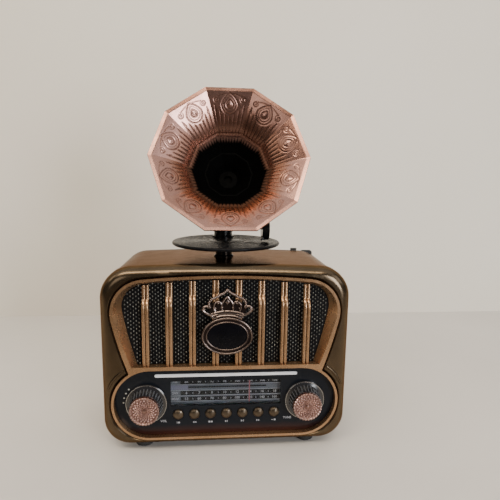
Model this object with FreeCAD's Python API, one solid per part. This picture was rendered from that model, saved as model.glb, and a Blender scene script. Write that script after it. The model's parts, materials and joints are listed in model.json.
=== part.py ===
"""Table radio with a gramophone horn: one STEP file per piece, in millimetres.

+X is the radio's right as its user sees it, +Y points to its back and +Z up. The origin is the middle of
the footprint on the table. Depths in the case are measured from the bezel's front face, with at_depth().
"""
import FreeCAD, Part
import math
import os

V = FreeCAD.Vector

# ---- driving dimensions ---------------------------------------------------------------------------
KNOB_REACH = 9.4          # knob caps stand this far in front of the bezel face
NECK_REACH = 118.4        # the horn's neck ends this far behind the bezel face
BODY_WIDTH = 201.0
BODY_TOP = 157.5          # crown of the case's slightly arched top
FOOT_HEIGHT = 6.0
TOP_ARCH_RADIUS = 1700.0
TOP_CORNER_RADIUS = 26.0
BOTTOM_CORNER_RADIUS = 22.0
WALL = 2.5
FIT_GAP = 0.15            # gap between fixed pieces that are pushed together
RUN_GAP = 0.05            # radial gap of shafts and sliding tubes

BEZEL_DEPTH = 14.0
BEZEL_EDGE_RADIUS = 9.0
BEZEL_FACE = 6.0          # thickness of the bezel's front face
OPENING_SLOPE = 2.0       # the bezel's opening slopes back to the trim by this much
HOUSING_INSET = 1.2       # the rear housing is this much smaller all round
HOUSING_END = 92.0
COVER_END = 97.0
COVER_EDGE_RADIUS = 2.5

TRIM_TOP = 149.4
TRIM_ARCH_RADIUS = 750.0
TRIM_SHOULDER_RADIUS = 27.5
TRIM_SHOULDER_X = 64.2
TRIM_SIDE_RADIUS = 350.0
TRIM_DEPTH = 7.5
TRIM_LIP = 2.0            # width of the trim's front edge
WAIST_X = 78.4
LOBE_X = 62.0             # the dial lobe is two half rounds joined by straights
LOBE_Z = 42.6
LOBE_RADIUS = 31.0
RAIL_HEIGHT = 3.1         # cross rail between grille and dial

GRILLE_TOP = 144.9
GRILLE_ARCH_RADIUS = 570.0
GRILLE_SHOULDER_RADIUS = 18.0
GRILLE_SHOULDER_X = 65.5
GRILLE_FOOT_X = 72.2
BAR_COUNT = 8
BAR_PITCH = 18.55
BAR_WIDTH = 5.0
BAR_GROOVE = 1.3
BAR_FRONT = 1.8
BAR_BACK = 7.6
BAR_CURL = 15.0           # height of the curl at a bar's top
MESH_DEPTH = 8.2
MESH_THICKNESS = 0.8
BAFFLE_DEPTH = 10.5
BAFFLE_THICKNESS = 2.0

BADGE_Z = 100.2
BADGE_HALF = (20.6, 15.3)
BADGE_LENS_HALF = (15.9, 11.1)

PANEL_DEPTH = 5.0
PANEL_THICKNESS = 2.5
KNOB_X = 65.6
KNOB_Z = 41.7
KNOB_SKIRT_RADIUS = 16.8
KNOB_GRIP_RADIUS = 12.6
KNOB_CAP_RADIUS = 12.2
KNOB_CAP_LENGTH = 3.4
SHAFT_RADIUS = 3.0
SHAFT_END = 22.0
KNOB_RIBS = 30
BUTTON_COUNT = 7
BUTTON_PITCH = 13.32
BUTTON_Z = 31.1
BUTTON_RADIUS = 4.4
BUTTON_FRONT = 2.4
BUTTON_TRAVEL = 0.8
SWITCH_HEIGHT = 3.0
STRIP_HALF = 58.8
STRIP_Z = 65.1
STRIP_HEIGHT = 2.7
WINDOW_X = (-46.0, 45.2)
WINDOW_Z = (38.1, 59.9)
POINTER_X = 19.2
LED_RADIUS = 0.8
LED_ARC_RADIUS = 18.6
LED_ANGLES = (139.0, 152.0, 165.0, 178.0)
DRUM_RADIUS = 7.5
DRUM_DEPTH = 11.6
CORD_RADIUS = 0.4
PULLEY_X = -51.0
BOARD_DEPTH = 24.0

SPEAKER_Z = 108.0
SPEAKER_RADIUS = 30.0
SPEAKER_SCREW_SPREAD = 23.2

FOOT_RADIUS = 8.0
FOOT_X = 69.4
FOOT_DEPTHS = (17.0, 80.0)

POST_X = -2.0
DISC_DEPTH = 52.5
DISC_TOP = 170.3
DISC_RADIUS = 47.7
DISC_THICKNESS = 3.0
PEDESTAL_RADIUS = 7.3
NECK_DEPTH = 80.5
NECK_RADIUS = 7.5
SOCKET_RADIUS = 8.6
SOCKET_HEIGHT = 5.0
CLAMP_HEIGHT = 5.0
NECK_KNEE_Z = 189.0
ARM_X = 34.8
ARM_DEPTH = 50.5
ARM_Z = 181.4
ARM_RADIUS = 2.4
SOUND_BOX_RADIUS = 10.0
SOUND_BOX_WIDTH = 6.4

HORN_SIDES = 10
HORN_X = 3.2
HORN_DEPTH = 51.9         # middle of the horn's mouth
HORN_Z = 244.5
HORN_TILT = 22.96         # the mouth looks this many degrees up
HORN_WALL = 1.3
HORN_LIP = 1.6            # depth of the folded rim
# distance behind the mouth, and distance from the axis to the middle of a panel
BELL_PROFILE = ((0.0, 67.2), (0.8, 64.2), (5.0, 57.0), (10.0, 49.5), (15.0, 43.2), (19.0, 38.8),
                (23.0, 35.4), (28.0, 31.8), (34.0, 27.2), (40.0, 21.8))
THROAT_PROFILE = ((39.0, 20.8), (46.0, 13.8), (52.0, 8.8))
NECK_BEND_RADIUS = 13.0

ANTENNA_PIVOT = (83.0, 103.0, 150.6)     # x, depth, z
ANTENNA_RADII = (3.0, 2.3, 1.6)
ANTENNA_LENGTH = 84.0
ANTENNA_TUBE_WALL = 0.45

DOOR_SIZE = (58.0, 40.0)
DOOR_THICKNESS = 2.1
DOOR_Z = 62.0
TRAY_WALL = 1.2
CELL_SIZE = (53.0, 5.7, 34.0)
JACK_X = (-70.0, -52.0, -34.0)           # audio jack, USB socket, charging socket
JACK_Z = 30.0

# ---- worked-out values ----------------------------------------------------------------------------
FACE_Y = KNOB_REACH - (KNOB_REACH + NECK_REACH) / 2
HALF_WIDTH = BODY_WIDTH / 2
FLAT_RAIL_Z = LOBE_Z + LOBE_RADIUS - TRIM_LIP
GRILLE_SILL = FLAT_RAIL_Z + RAIL_HEIGHT
DISC_BOTTOM = DISC_TOP - DISC_THICKNESS
BUTTON_XS = [(i - (BUTTON_COUNT - 1) / 2) * BUTTON_PITCH for i in range(BUTTON_COUNT)]
TILT = math.radians(HORN_TILT)
CELL_FRONT = COVER_END - DOOR_THICKNESS - 0.4 - CELL_SIZE[1]
PANEL_BACK = PANEL_DEPTH + PANEL_THICKNESS
CORD_LOOP_RADIUS = DRUM_RADIUS + CORD_RADIUS + RUN_GAP


def at_depth(depth):
    """Y of a plane that lies this far behind the bezel's front face."""
    return FACE_Y + depth


# ---- small tools ----------------------------------------------------------------------------------
def save(name, shape):
    shape.exportStep(f"parts/{name}.step")
    print(f"{name:20s} solids {len(shape.Solids)}  volume {shape.Volume:10.1f}  valid {shape.isValid()}")


def fused(shapes):
    shapes = list(shapes)
    whole = shapes[0].multiFuse(shapes[1:]) if len(shapes) > 1 else shapes[0]
    return whole.removeSplitter()


def group(shapes):
    return Part.makeCompound(list(shapes))


def box(x, depth, z):
    """Box from pairs of limits: x, depth behind the face, z."""
    corner = V(x[0], at_depth(depth[0]), z[0])
    return Part.makeBox(x[1] - x[0], depth[1] - depth[0], z[1] - z[0], corner)


def rod(x, z, radius, front, back):
    """Cylinder along the depth."""
    return Part.makeCylinder(radius, back - front, V(x, at_depth(front), z), V(0, 1, 0))


def post(x, depth, radius, low, high):
    """Upright cylinder."""
    return Part.makeCylinder(radius, high - low, V(x, at_depth(depth), low))


def turned(x, z, outline):
    """Solid of revolution about an axis along the depth; outline holds (depth, radius) points."""
    points = [V(x + radius, at_depth(depth), z) for depth, radius in outline]
    face = Part.Face(Part.makePolygon(points + [points[0]]))
    return face.revolve(V(x, 0, z), V(0, 1, 0), 360)


def turned_upright(x, depth, outline):
    """Solid of revolution about an upright axis; outline holds (radius, z) points."""
    points = [V(x + radius, at_depth(depth), z) for radius, z in outline]
    face = Part.Face(Part.makePolygon(points + [points[0]]))
    return face.revolve(V(x, at_depth(depth), 0), V(0, 0, 1), 360)


def line(a, b, depth):
    return Part.LineSegment(V(a[0], at_depth(depth), a[1]), V(b[0], at_depth(depth), b[1])).toShape()


def arc_about(centre, radius, start, end, depth):
    """Arc in a plane parallel to the face; angles in radians, anticlockwise seen from the front."""
    def point(angle):
        return V(centre[0] + radius * math.cos(angle), at_depth(depth), centre[1] + radius * math.sin(angle))
    return Part.Arc(point(start), point((start + end) / 2), point(end)).toShape()


def mirrored(edges):
    """Edges mirrored from the right half to the left half, in the order that closes the outline."""
    flipped = [edge.mirror(V(0, 0, 0), V(1, 0, 0)) for edge in edges]
    return edges + flipped[::-1]


def prism(wire, length):
    return Part.Face(wire).extrude(V(0, length, 0))


def closed(edges):
    return Part.Wire(Part.__sortEdges__(edges))


# ---- outlines -------------------------------------------------------------------------------------
def body_wire(inset, depth):
    """Case outline: arched top, round corners, flat bottom."""
    half = HALF_WIDTH - inset
    top = BODY_TOP - inset
    bottom = FOOT_HEIGHT + inset
    arch = TOP_ARCH_RADIUS - inset
    corner = TOP_CORNER_RADIUS - inset
    low = BOTTOM_CORNER_RADIUS - inset
    lean = math.asin((half - corner) / (arch - corner))
    arch_centre = (0.0, top - arch)
    corner_centre = (half - corner, top - arch + (arch - corner) * math.cos(lean))
    low_centre = (half - low, bottom + low)
    upright = math.pi / 2
    right = [
        arc_about(arch_centre, arch, upright, upright - lean, depth),
        arc_about(corner_centre, corner, upright - lean, 0.0, depth),
        line((half, corner_centre[1]), (half, low_centre[1]), depth),
        arc_about(low_centre, low, 0.0, -upright, depth),
        line((low_centre[0], bottom), (0.0, bottom), depth),
    ]
    return closed(mirrored(right))


def circle_meeting(a, reach_a, b, reach_b):
    """Point at the given distances from a and b, on the side nearer the middle of the radio."""
    dx, dz = b[0] - a[0], b[1] - a[1]
    gap = math.hypot(dx, dz)
    along = (reach_a ** 2 - reach_b ** 2 + gap ** 2) / (2 * gap)
    off = math.sqrt(reach_a ** 2 - along ** 2)
    base = (a[0] + along * dx / gap, a[1] + along * dz / gap)
    sides = [(base[0] + s * off * dz / gap, base[1] - s * off * dx / gap) for s in (1, -1)]
    return min(sides, key=lambda point: point[0])


def shield_edges(top, arch, shoulder, shoulder_x, side, foot, depth):
    """Right half of the grille's outline: arched top, round shoulder, side that leans in to the foot."""
    rise = math.sqrt((arch - shoulder) ** 2 - shoulder_x ** 2)
    arch_centre = (0.0, top - arch)
    shoulder_centre = (shoulder_x, top - arch + rise)
    side_centre = circle_meeting(shoulder_centre, side - shoulder, foot, side)
    start = math.atan2(rise, shoulder_x)
    turn = math.atan2(shoulder_centre[1] - side_centre[1], shoulder_centre[0] - side_centre[0])
    end = math.atan2(foot[1] - side_centre[1], foot[0] - side_centre[0])
    return [
        arc_about(arch_centre, arch, math.pi / 2, start, depth),
        arc_about(shoulder_centre, shoulder, start, turn, depth),
        arc_about(side_centre, side, turn, end, depth),
    ]


def waist(radius):
    """Where the trim's side meets the lobe's round."""
    x = WAIST_X + radius - LOBE_RADIUS
    return (x, LOBE_Z + math.sqrt(radius ** 2 - (x - LOBE_X) ** 2))


def trim_wire(grow, depth):
    """Outer outline of the gold trim: grille shield above, dial lobe below."""
    lobe = LOBE_RADIUS + grow
    foot = waist(lobe)
    start = math.atan2(foot[1] - LOBE_Z, foot[0] - LOBE_X)
    bottom = LOBE_Z - lobe
    right = shield_edges(TRIM_TOP + grow, TRIM_ARCH_RADIUS + grow, TRIM_SHOULDER_RADIUS + grow,
                         TRIM_SHOULDER_X, TRIM_SIDE_RADIUS + grow, foot, depth)
    right += [
        arc_about((LOBE_X, LOBE_Z), lobe, start, -math.pi / 2, depth),
        line((LOBE_X, bottom), (0.0, bottom), depth),
    ]
    return closed(mirrored(right))


def opening_wire(depth, spread):
    """Grille opening: spread 0 is its narrow back edge, and 1 its wide front edge at the trim's lip."""
    def between(back, front):
        return back + (front - back) * spread
    sill = between(GRILLE_SILL - 0.4, GRILLE_SILL)
    foot = (between(GRILLE_FOOT_X, WAIST_X - TRIM_LIP), sill)
    right = shield_edges(between(GRILLE_TOP, TRIM_TOP - TRIM_LIP),
                         between(GRILLE_ARCH_RADIUS, TRIM_ARCH_RADIUS - TRIM_LIP),
                         between(GRILLE_SHOULDER_RADIUS, TRIM_SHOULDER_RADIUS - TRIM_LIP),
                         between(GRILLE_SHOULDER_X, TRIM_SHOULDER_X),
                         TRIM_SIDE_RADIUS - TRIM_LIP, foot, depth)
    right.append(line(foot, (0.0, sill), depth))
    return closed(mirrored(right))


def lobe_wire(inset, depth):
    """Stadium outline of the dial."""
    radius = LOBE_RADIUS - inset
    right = [
        line((0.0, LOBE_Z + radius), (LOBE_X, LOBE_Z + radius), depth),
        arc_about((LOBE_X, LOBE_Z), radius, math.pi / 2, -math.pi / 2, depth),
        line((LOBE_X, LOBE_Z - radius), (0.0, LOBE_Z - radius), depth),
    ]
    return closed(mirrored(right))


def ellipse_plate(half, centre_z, front, back):
    curve = Part.Ellipse(V(half[0], at_depth(front), centre_z), V(0, at_depth(front), centre_z + half[1]),
                         V(0, at_depth(front), centre_z))
    return prism(Part.Wire(curve.toShape()), back - front)


def slot_plate(x, z, front, back, radius):
    """Plate with rounded corners, from pairs of limits."""
    plate = box(x, (front, back), z)
    edges = [edge for edge in plate.Edges if abs(edge.tangentAt(edge.FirstParameter).y) > 0.9]
    return plate.makeFillet(radius, edges)


def front_edges(shape, depth):
    """Edges that lie in the plane at this depth."""
    y = at_depth(depth)
    return [e for e in shape.Edges if abs(e.BoundBox.YMin - y) < 0.01 and abs(e.BoundBox.YMax - y) < 0.01]


# ---- case -----------------------------------------------------------------------------------------
def front_bezel():
    block = prism(body_wire(0.0, 0.0), BEZEL_DEPTH)
    block = block.makeFillet(BEZEL_EDGE_RADIUS, front_edges(block, 0.0))
    hollow = prism(body_wire(WALL + 1.0, BEZEL_FACE), BEZEL_DEPTH - BEZEL_FACE)
    opening = prism(trim_wire(FIT_GAP, -1.0), BEZEL_FACE + 2.0)
    slope_ends = [trim_wire(FIT_GAP + OPENING_SLOPE, -0.01), trim_wire(FIT_GAP, OPENING_SLOPE)]
    slope = Part.makeLoft(slope_ends, True, True)
    return block.cut([hollow, opening, slope]).fuse([crease(1), crease(-1)]).removeSplitter()


def crease(side):
    """Raised ridge in the bezel's face that follows the lobe outside the waist."""
    radius = LOBE_RADIUS + 5.2
    start, end = math.radians(24.0), math.radians(56.0)
    centre = (side * LOBE_X, LOBE_Z)
    if side < 0:
        start, end = math.pi - end, math.pi - start
    path = Part.Wire([arc_about(centre, radius, start, end, 0.2)])
    first = V(centre[0] + radius * math.cos(start), at_depth(0.2), centre[1] + radius * math.sin(start))
    tangent = V(-math.sin(start), 0, math.cos(start))
    section = Part.Wire([Part.Circle(first, tangent, 1.1).toShape()])
    return path.makePipeShell([section], True, False)


def rear_housing():
    outer = prism(body_wire(HOUSING_INSET, BEZEL_DEPTH), HOUSING_END - BEZEL_DEPTH)
    inner = prism(body_wire(HOUSING_INSET + WALL, BEZEL_DEPTH), HOUSING_END - BEZEL_DEPTH)
    tongue = prism(body_wire(WALL + 1.0 + FIT_GAP, BEZEL_DEPTH - 3.0), 4.0)
    tongue_hole = prism(body_wire(WALL + 2.6, BEZEL_DEPTH - 3.0), 4.0)
    screw_hole = post(POST_X, DISC_DEPTH, 1.7, BODY_TOP - 8.0, BODY_TOP + 2.0)
    return outer.cut(inner).fuse(tongue.cut(tongue_hole)).cut(screw_hole).removeSplitter()


def socket_holes():
    audio = rod(JACK_X[0], JACK_Z, 3.2, HOUSING_END - 1.0, COVER_END + 1.0)
    usb = slot_plate((JACK_X[1] - 7.0, JACK_X[1] + 7.0), (JACK_Z - 3.4, JACK_Z + 3.4),
                     HOUSING_END - 1.0, COVER_END + 1.0, 0.6)
    charge = slot_plate((JACK_X[2] - 5.0, JACK_X[2] + 5.0), (JACK_Z - 2.2, JACK_Z + 2.2),
                        HOUSING_END - 1.0, COVER_END + 1.0, 2.1)
    return [audio, usb, charge]


def door_limits(margin):
    half_width, half_height = DOOR_SIZE[0] / 2 + margin, DOOR_SIZE[1] / 2 + margin
    return (-half_width, half_width), (DOOR_Z - half_height, DOOR_Z + half_height)


def cell_limits(margin):
    half_width, half_height = CELL_SIZE[0] / 2 + margin, CELL_SIZE[2] / 2 + margin
    return (-half_width, half_width), (DOOR_Z - half_height, DOOR_Z + half_height)


def rear_cover():
    """Back plate with the battery tray, screw seats and socket holes."""
    plate = prism(body_wire(HOUSING_INSET, HOUSING_END), COVER_END - HOUSING_END)
    plate = plate.makeFillet(COVER_EDGE_RADIUS, front_edges(plate, COVER_END))
    x, z = door_limits(FIT_GAP)
    recess = slot_plate(x, z, COVER_END - DOOR_THICKNESS - 0.1, COVER_END + 1.0, 1.0)
    tray_x, tray_z = cell_limits(FIT_GAP + TRAY_WALL)
    well_x, well_z = cell_limits(FIT_GAP)
    plate = plate.fuse(box(tray_x, (CELL_FRONT - FIT_GAP - TRAY_WALL, HOUSING_END + 1.0), tray_z))
    well = box(well_x, (CELL_FRONT - FIT_GAP, COVER_END), well_z)
    screw_seats = [rod(sx, sz, 3.0, COVER_END - 2.0, COVER_END + 1.0) for sx, sz in screw_places()]
    screw_holes = [rod(sx, sz, 1.6, HOUSING_END - 1.0, COVER_END) for sx, sz in screw_places()]
    return plate.cut([recess, well] + socket_holes() + screw_seats + screw_holes)


def screw_places():
    return [(sx * 84.0, z) for sx in (-1, 1) for z in (22.0, 134.0)]


def case_screws():
    heads = []
    for x, z in screw_places():
        head = turned(x, z, ((COVER_END - 1.9, 0.0), (COVER_END - 1.9, 2.7), (COVER_END - 0.7, 2.4),
                             (COVER_END - 0.3, 1.2), (COVER_END - 0.3, 0.0)))
        slots = [box((x - 1.6, x + 1.6), (COVER_END - 1.0, COVER_END), (z - 0.3, z + 0.3)),
                 box((x - 0.3, x + 0.3), (COVER_END - 1.0, COVER_END), (z - 1.6, z + 1.6))]
        heads.append(head.fuse(rod(x, z, 1.4, HOUSING_END - 10.0, COVER_END - 1.5)).cut(slots))
    return group(heads)


def battery_door():
    x, z = door_limits(0.0)
    plate = slot_plate(x, z, COVER_END - DOOR_THICKNESS, COVER_END, 1.0)
    ribs = [box((-9.0, 9.0), (COVER_END - 0.2, COVER_END + 0.5),
                (z[1] - 12.0 + 2.4 * i, z[1] - 10.8 + 2.4 * i))
            for i in range(4)]
    return fused([plate] + ribs)


def battery_cell():
    x, z = cell_limits(0.0)
    return slot_plate(x, z, CELL_FRONT, CELL_FRONT + CELL_SIZE[1], 2.0)


def rubber_feet():
    feet = []
    for depth in FOOT_DEPTHS:
        for side in (-1, 1):
            outline = ((0.0, 0.0), (FOOT_RADIUS - 1.6, 0.0), (FOOT_RADIUS - 0.5, 0.5), (FOOT_RADIUS, 1.6),
                       (FOOT_RADIUS, FOOT_HEIGHT + 2.0), (0.0, FOOT_HEIGHT + 2.0))
            foot = turned_upright(side * FOOT_X, depth, outline)
            feet.append(foot.cut(case_outer()))
    return group(feet)


def case_outer():
    """Bezel and housing as one filled block, to trim what stands against the case."""
    bezel = prism(body_wire(0.0, 0.0), BEZEL_DEPTH)
    bezel = bezel.makeFillet(BEZEL_EDGE_RADIUS, front_edges(bezel, 0.0))
    housing = prism(body_wire(HOUSING_INSET, BEZEL_DEPTH), COVER_END - BEZEL_DEPTH)
    return bezel.fuse(housing)


# ---- grille ---------------------------------------------------------------------------------------
def trim_frame():
    block = prism(trim_wire(0.0, 0.0), TRIM_DEPTH)
    opening = Part.makeLoft([opening_wire(-0.5, 1.0), opening_wire(TRIM_DEPTH + 0.5, 0.0)], True, True)
    dial = prism(lobe_wire(TRIM_LIP, -1.0), TRIM_DEPTH + 2.0)
    return block.cut([opening, dial])


def bar_top(x):
    return GRILLE_TOP - x * x / (2 * GRILLE_ARCH_RADIUS) - 0.3


def bar_profile(x, lift):
    """Side view of a bar at this x, its front face set back by lift."""
    top = bar_top(x)
    front = BAR_FRONT + lift
    low = GRILLE_SILL
    curl = top - BAR_CURL
    end = BAR_BACK - 1.2
    start = V(0, at_depth(front), curl)
    tip = V(0, at_depth(end), top)
    middle = V(0, at_depth(front + (end - front) * 0.33), curl + BAR_CURL * 0.58)
    edges = [
        Part.LineSegment(V(0, at_depth(front), low), start).toShape(),
        Part.Arc(start, middle, tip).toShape(),
        Part.LineSegment(tip, V(0, at_depth(BAR_BACK), top)).toShape(),
        Part.LineSegment(V(0, at_depth(BAR_BACK), top), V(0, at_depth(BAR_BACK), low)).toShape(),
        Part.LineSegment(V(0, at_depth(BAR_BACK), low), V(0, at_depth(front), low)).toShape(),
    ]
    return Part.Face(Part.Wire(edges))


def grille_bar(x):
    """One bar: two ridges with a groove between them."""
    ridge = (BAR_WIDTH - BAR_GROOVE) / 2
    pieces = []
    for start, width, lift in ((-BAR_WIDTH / 2, ridge, 0.0), (-BAR_GROOVE / 2, BAR_GROOVE, 0.9),
                               (BAR_GROOVE / 2, ridge, 0.0)):
        piece = bar_profile(x, lift).extrude(V(width, 0, 0))
        piece.translate(V(x + start, 0, 0))
        pieces.append(piece)
    return fused(pieces)


def grille_bars():
    """Bars joined at both ends by a flange that hides behind the trim."""
    xs = [(i - (BAR_COUNT - 1) / 2) * BAR_PITCH for i in range(BAR_COUNT)]
    front, back = TRIM_DEPTH + 0.1, MESH_DEPTH - 0.1
    flange = prism(opening_wire(front, 1.0), back - front)
    flange = flange.cut(prism(opening_wire(front - 1.0, 0.3), back - front + 2.0))
    tabs = [box((x - BAR_WIDTH / 2, x + BAR_WIDTH / 2), (front, back), (GRILLE_SILL - 1.5, bar_top(x) + 2.0))
            for x in xs]
    return fused([grille_bar(x) for x in xs] + tabs + [flange])


def speaker_mesh():
    outline = opening_wire(MESH_DEPTH, 0.35)
    return prism(outline, MESH_THICKNESS)


def baffle_board():
    outline = opening_wire(BAFFLE_DEPTH, 0.3)
    board = prism(outline, BAFFLE_THICKNESS)
    return board.cut(rod(0.0, SPEAKER_Z, SPEAKER_RADIUS - 4.0, BAFFLE_DEPTH - 1.0, BAFFLE_DEPTH + 4.0))


def speaker_basket():
    front = BAFFLE_DEPTH + BAFFLE_THICKNESS + 0.1
    outline = ((front, SPEAKER_RADIUS - 4.0), (front, SPEAKER_RADIUS), (front + 1.5, SPEAKER_RADIUS),
               (front + 3.0, SPEAKER_RADIUS - 3.0), (front + 16.0, 17.0), (front + 16.0, 9.0),
               (front + 14.6, 9.0), (front + 14.6, 16.0), (front + 2.4, SPEAKER_RADIUS - 4.4))
    half = SPEAKER_SCREW_SPREAD + 3.5
    flange = slot_plate((-half, half), (SPEAKER_Z - half, SPEAKER_Z + half), front, front + 1.5, 3.0)
    flange = flange.cut(rod(0.0, SPEAKER_Z, SPEAKER_RADIUS - 2.0, front - 1.0, front + 3.0))
    holes = [rod(x, z, 1.4, front - 1.0, front + 3.0) for x, z in speaker_screw_places()]
    return fused([turned(0.0, SPEAKER_Z, outline), flange]).cut(holes)


def speaker_screw_places():
    spread = SPEAKER_SCREW_SPREAD
    return [(side * spread, SPEAKER_Z + up * spread) for side in (-1, 1) for up in (-1, 1)]


def speaker_cone():
    front = BAFFLE_DEPTH + BAFFLE_THICKNESS + 0.4
    outline = ((front + 0.6, SPEAKER_RADIUS - 4.6), (front, SPEAKER_RADIUS - 6.0),
               (front + 0.8, SPEAKER_RADIUS - 8.0), (front + 10.0, 8.0), (front + 8.5, 0.0),
               (front + 9.3, 0.0), (front + 11.0, 8.0), (front + 1.8, SPEAKER_RADIUS - 7.6),
               (front + 1.0, SPEAKER_RADIUS - 6.0), (front + 1.4, SPEAKER_RADIUS - 4.6))
    return turned(0.0, SPEAKER_Z, outline)


def speaker_screws():
    front = BAFFLE_DEPTH + BAFFLE_THICKNESS
    return group(turned(x, z, ((front, 0.0), (front, 1.3), (front + 1.7, 1.3), (front + 1.7, 2.6),
                               (front + 2.6, 2.2), (front + 3.2, 0.0))) for x, z in speaker_screw_places())


def speaker_magnet():
    front = BAFFLE_DEPTH + BAFFLE_THICKNESS + 16.2
    outline = ((front, 0.0), (front, 18.0), (front + 2.0, 18.0), (front + 2.0, 20.0), (front + 10.0, 20.0),
               (front + 10.0, 17.0), (front + 12.0, 16.0), (front + 12.0, 0.0))
    return turned(0.0, SPEAKER_Z, outline)


# ---- badge ----------------------------------------------------------------------------------------
def crown_wire(grow, depth):
    """Five-pointed crown with hollow curves between its points."""
    points = [(0.0, 139.2 + grow), (11.4, 134.9), (14.8 + grow, 129.8), (19.9 + grow, 124.0),
              (12.4 + grow, 116.6 - grow)]
    valleys = [(5.2, 134.4), (13.8 + grow, 133.0), (15.6 + grow, 126.2)]
    bends = [(15.2 + grow, 121.6)]
    right = []
    for start, via, end in ((points[0], valleys[0], points[1]), (points[1], valleys[1], points[2]),
                            (points[2], valleys[2], points[3]), (points[3], bends[0], points[4])):
        ends = [V(p[0], at_depth(depth), p[1]) for p in (start, via, end)]
        right.append(Part.Arc(*ends).toShape())
    right.append(line(points[4], (0.0, points[4][1] + 1.2), depth))
    return closed(mirrored(right))


def crown_emblem():
    plate = prism(crown_wire(0.0, -0.9), 2.6)
    holes = [rod(side * x, z, radius, -2.0, 3.0) for side in (-1, 1)
             for x, z, radius in ((4.6, 127.6, 2.9), (11.0, 127.0, 2.2))]
    holes.append(rod(0.0, 132.8, 1.7, -2.0, 3.0))
    beads = [Part.makeSphere(1.5, V(x, at_depth(-0.9), z))
             for x, z in ((0.0, 138.0), (-11.2, 133.7), (11.2, 133.7), (-18.6, 123.9), (18.6, 123.9))]
    return fused([plate.cut(holes)] + beads)


def oval_ring():
    outer = ellipse_plate(BADGE_HALF, BADGE_Z, -1.8, BAR_FRONT - 0.1)
    outer = outer.makeFillet(1.2, front_edges(outer, -1.8))
    inner = ellipse_plate((BADGE_LENS_HALF[0] + 0.1, BADGE_LENS_HALF[1] + 0.1), BADGE_Z, -3.0, 3.0)
    groove_out = ellipse_plate((18.9, 13.7), BADGE_Z, -3.0, -1.1)
    groove_in = ellipse_plate((17.7, 12.6), BADGE_Z, -4.0, 0.0)
    ring = outer.cut(inner).cut(groove_out.cut(groove_in))
    return ring.cut(prism(crown_wire(0.1, -1.2), 4.0))


def oval_lens():
    dome_radius = 90.0
    plate = ellipse_plate(BADGE_LENS_HALF, BADGE_Z, -4.0, BAR_FRONT - 0.2)
    dome = Part.makeSphere(dome_radius, V(0, at_depth(-1.3 + dome_radius), BADGE_Z))
    return plate.common(dome)


# ---- dial -----------------------------------------------------------------------------------------
def led_places():
    return [(-KNOB_X + LED_ARC_RADIUS * math.cos(math.radians(a)),
             KNOB_Z + LED_ARC_RADIUS * math.sin(math.radians(a)))
            for a in LED_ANGLES]


def dial_panel():
    front, back = PANEL_DEPTH - 1.0, PANEL_DEPTH + PANEL_THICKNESS + 1.0
    panel = prism(lobe_wire(TRIM_LIP + FIT_GAP, PANEL_DEPTH), PANEL_THICKNESS)
    cuts = [box(WINDOW_X, (front, back), WINDOW_Z)]
    cuts.append(slot_plate((-STRIP_HALF - 0.1, STRIP_HALF + 0.1),
                           (STRIP_Z - STRIP_HEIGHT / 2 - 0.1, STRIP_Z + STRIP_HEIGHT / 2 + 0.1), front, back, 1.4))
    cuts += [rod(x, BUTTON_Z, BUTTON_RADIUS + 0.2, front, back) for x in BUTTON_XS]
    cuts += [rod(side * KNOB_X, KNOB_Z, SHAFT_RADIUS + 0.6, front, back) for side in (-1, 1)]
    cuts += [rod(x, z, LED_RADIUS + 0.05, front, back) for x, z in led_places()]
    posts = [rod(side * 46.0, z, 1.6, PANEL_BACK - 0.5, BOARD_DEPTH)
             for side in (-1, 1) for z in (18.0, 69.4)]
    return panel.cut(cuts).fuse(posts)


def dial_window():
    return box((WINDOW_X[0] + 0.1, WINDOW_X[1] - 0.1), (PANEL_DEPTH + 0.3, PANEL_DEPTH + 1.5),
               (WINDOW_Z[0] + 0.1, WINDOW_Z[1] - 0.1))


def dial_scale():
    return box((WINDOW_X[0] - 2.0, WINDOW_X[1] + 2.0), (PANEL_DEPTH + 5.0, PANEL_DEPTH + 6.0),
               (WINDOW_Z[0] - 1.0, WINDOW_Z[1] + 1.4))


def light_strip():
    bar = slot_plate((-STRIP_HALF, STRIP_HALF), (STRIP_Z - STRIP_HEIGHT / 2, STRIP_Z + STRIP_HEIGHT / 2),
                     PANEL_DEPTH - 0.3, PANEL_DEPTH + 3.2, 1.3)
    return bar.makeFillet(0.25, front_edges(bar, PANEL_DEPTH - 0.3))


def indicator_leds():
    leds = []
    for x, z in led_places():
        leds.append(turned(x, z, ((PANEL_DEPTH - 0.3, 0.0), (PANEL_DEPTH - 0.1, LED_RADIUS * 0.7),
                                  (PANEL_DEPTH + 0.3, LED_RADIUS), (PANEL_DEPTH + 4.0, LED_RADIUS),
                                  (PANEL_DEPTH + 4.0, 0.0))))
    return group(leds)


def dial_pointer():
    """Red needle in front of the scale, on a carriage that reaches over the scale to the cord."""
    cord_z = KNOB_Z + CORD_LOOP_RADIUS
    needle = box((POINTER_X - 0.45, POINTER_X + 0.45), (PANEL_DEPTH + 3.2, PANEL_DEPTH + 4.0),
                 (WINDOW_Z[0] + 0.6, WINDOW_Z[1] + 3.1))
    bridge = box((POINTER_X - 2.0, POINTER_X + 2.0), (PANEL_DEPTH + 3.2, DRUM_DEPTH + 3.0),
                 (WINDOW_Z[1] + 1.9, WINDOW_Z[1] + 3.1))
    hanger = box((POINTER_X - 2.0, POINTER_X + 2.0), (DRUM_DEPTH + 0.2, DRUM_DEPTH + 3.0),
                 (cord_z - 1.6, WINDOW_Z[1] + 3.1))
    hole_start = V(POINTER_X - 3.0, at_depth(DRUM_DEPTH + 1.6), cord_z)
    grip_hole = Part.makeCylinder(CORD_RADIUS + RUN_GAP, 6.0, hole_start,
                                  V(1, 0, 0))
    return fused([needle, bridge, hanger]).cut(grip_hole)


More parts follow.
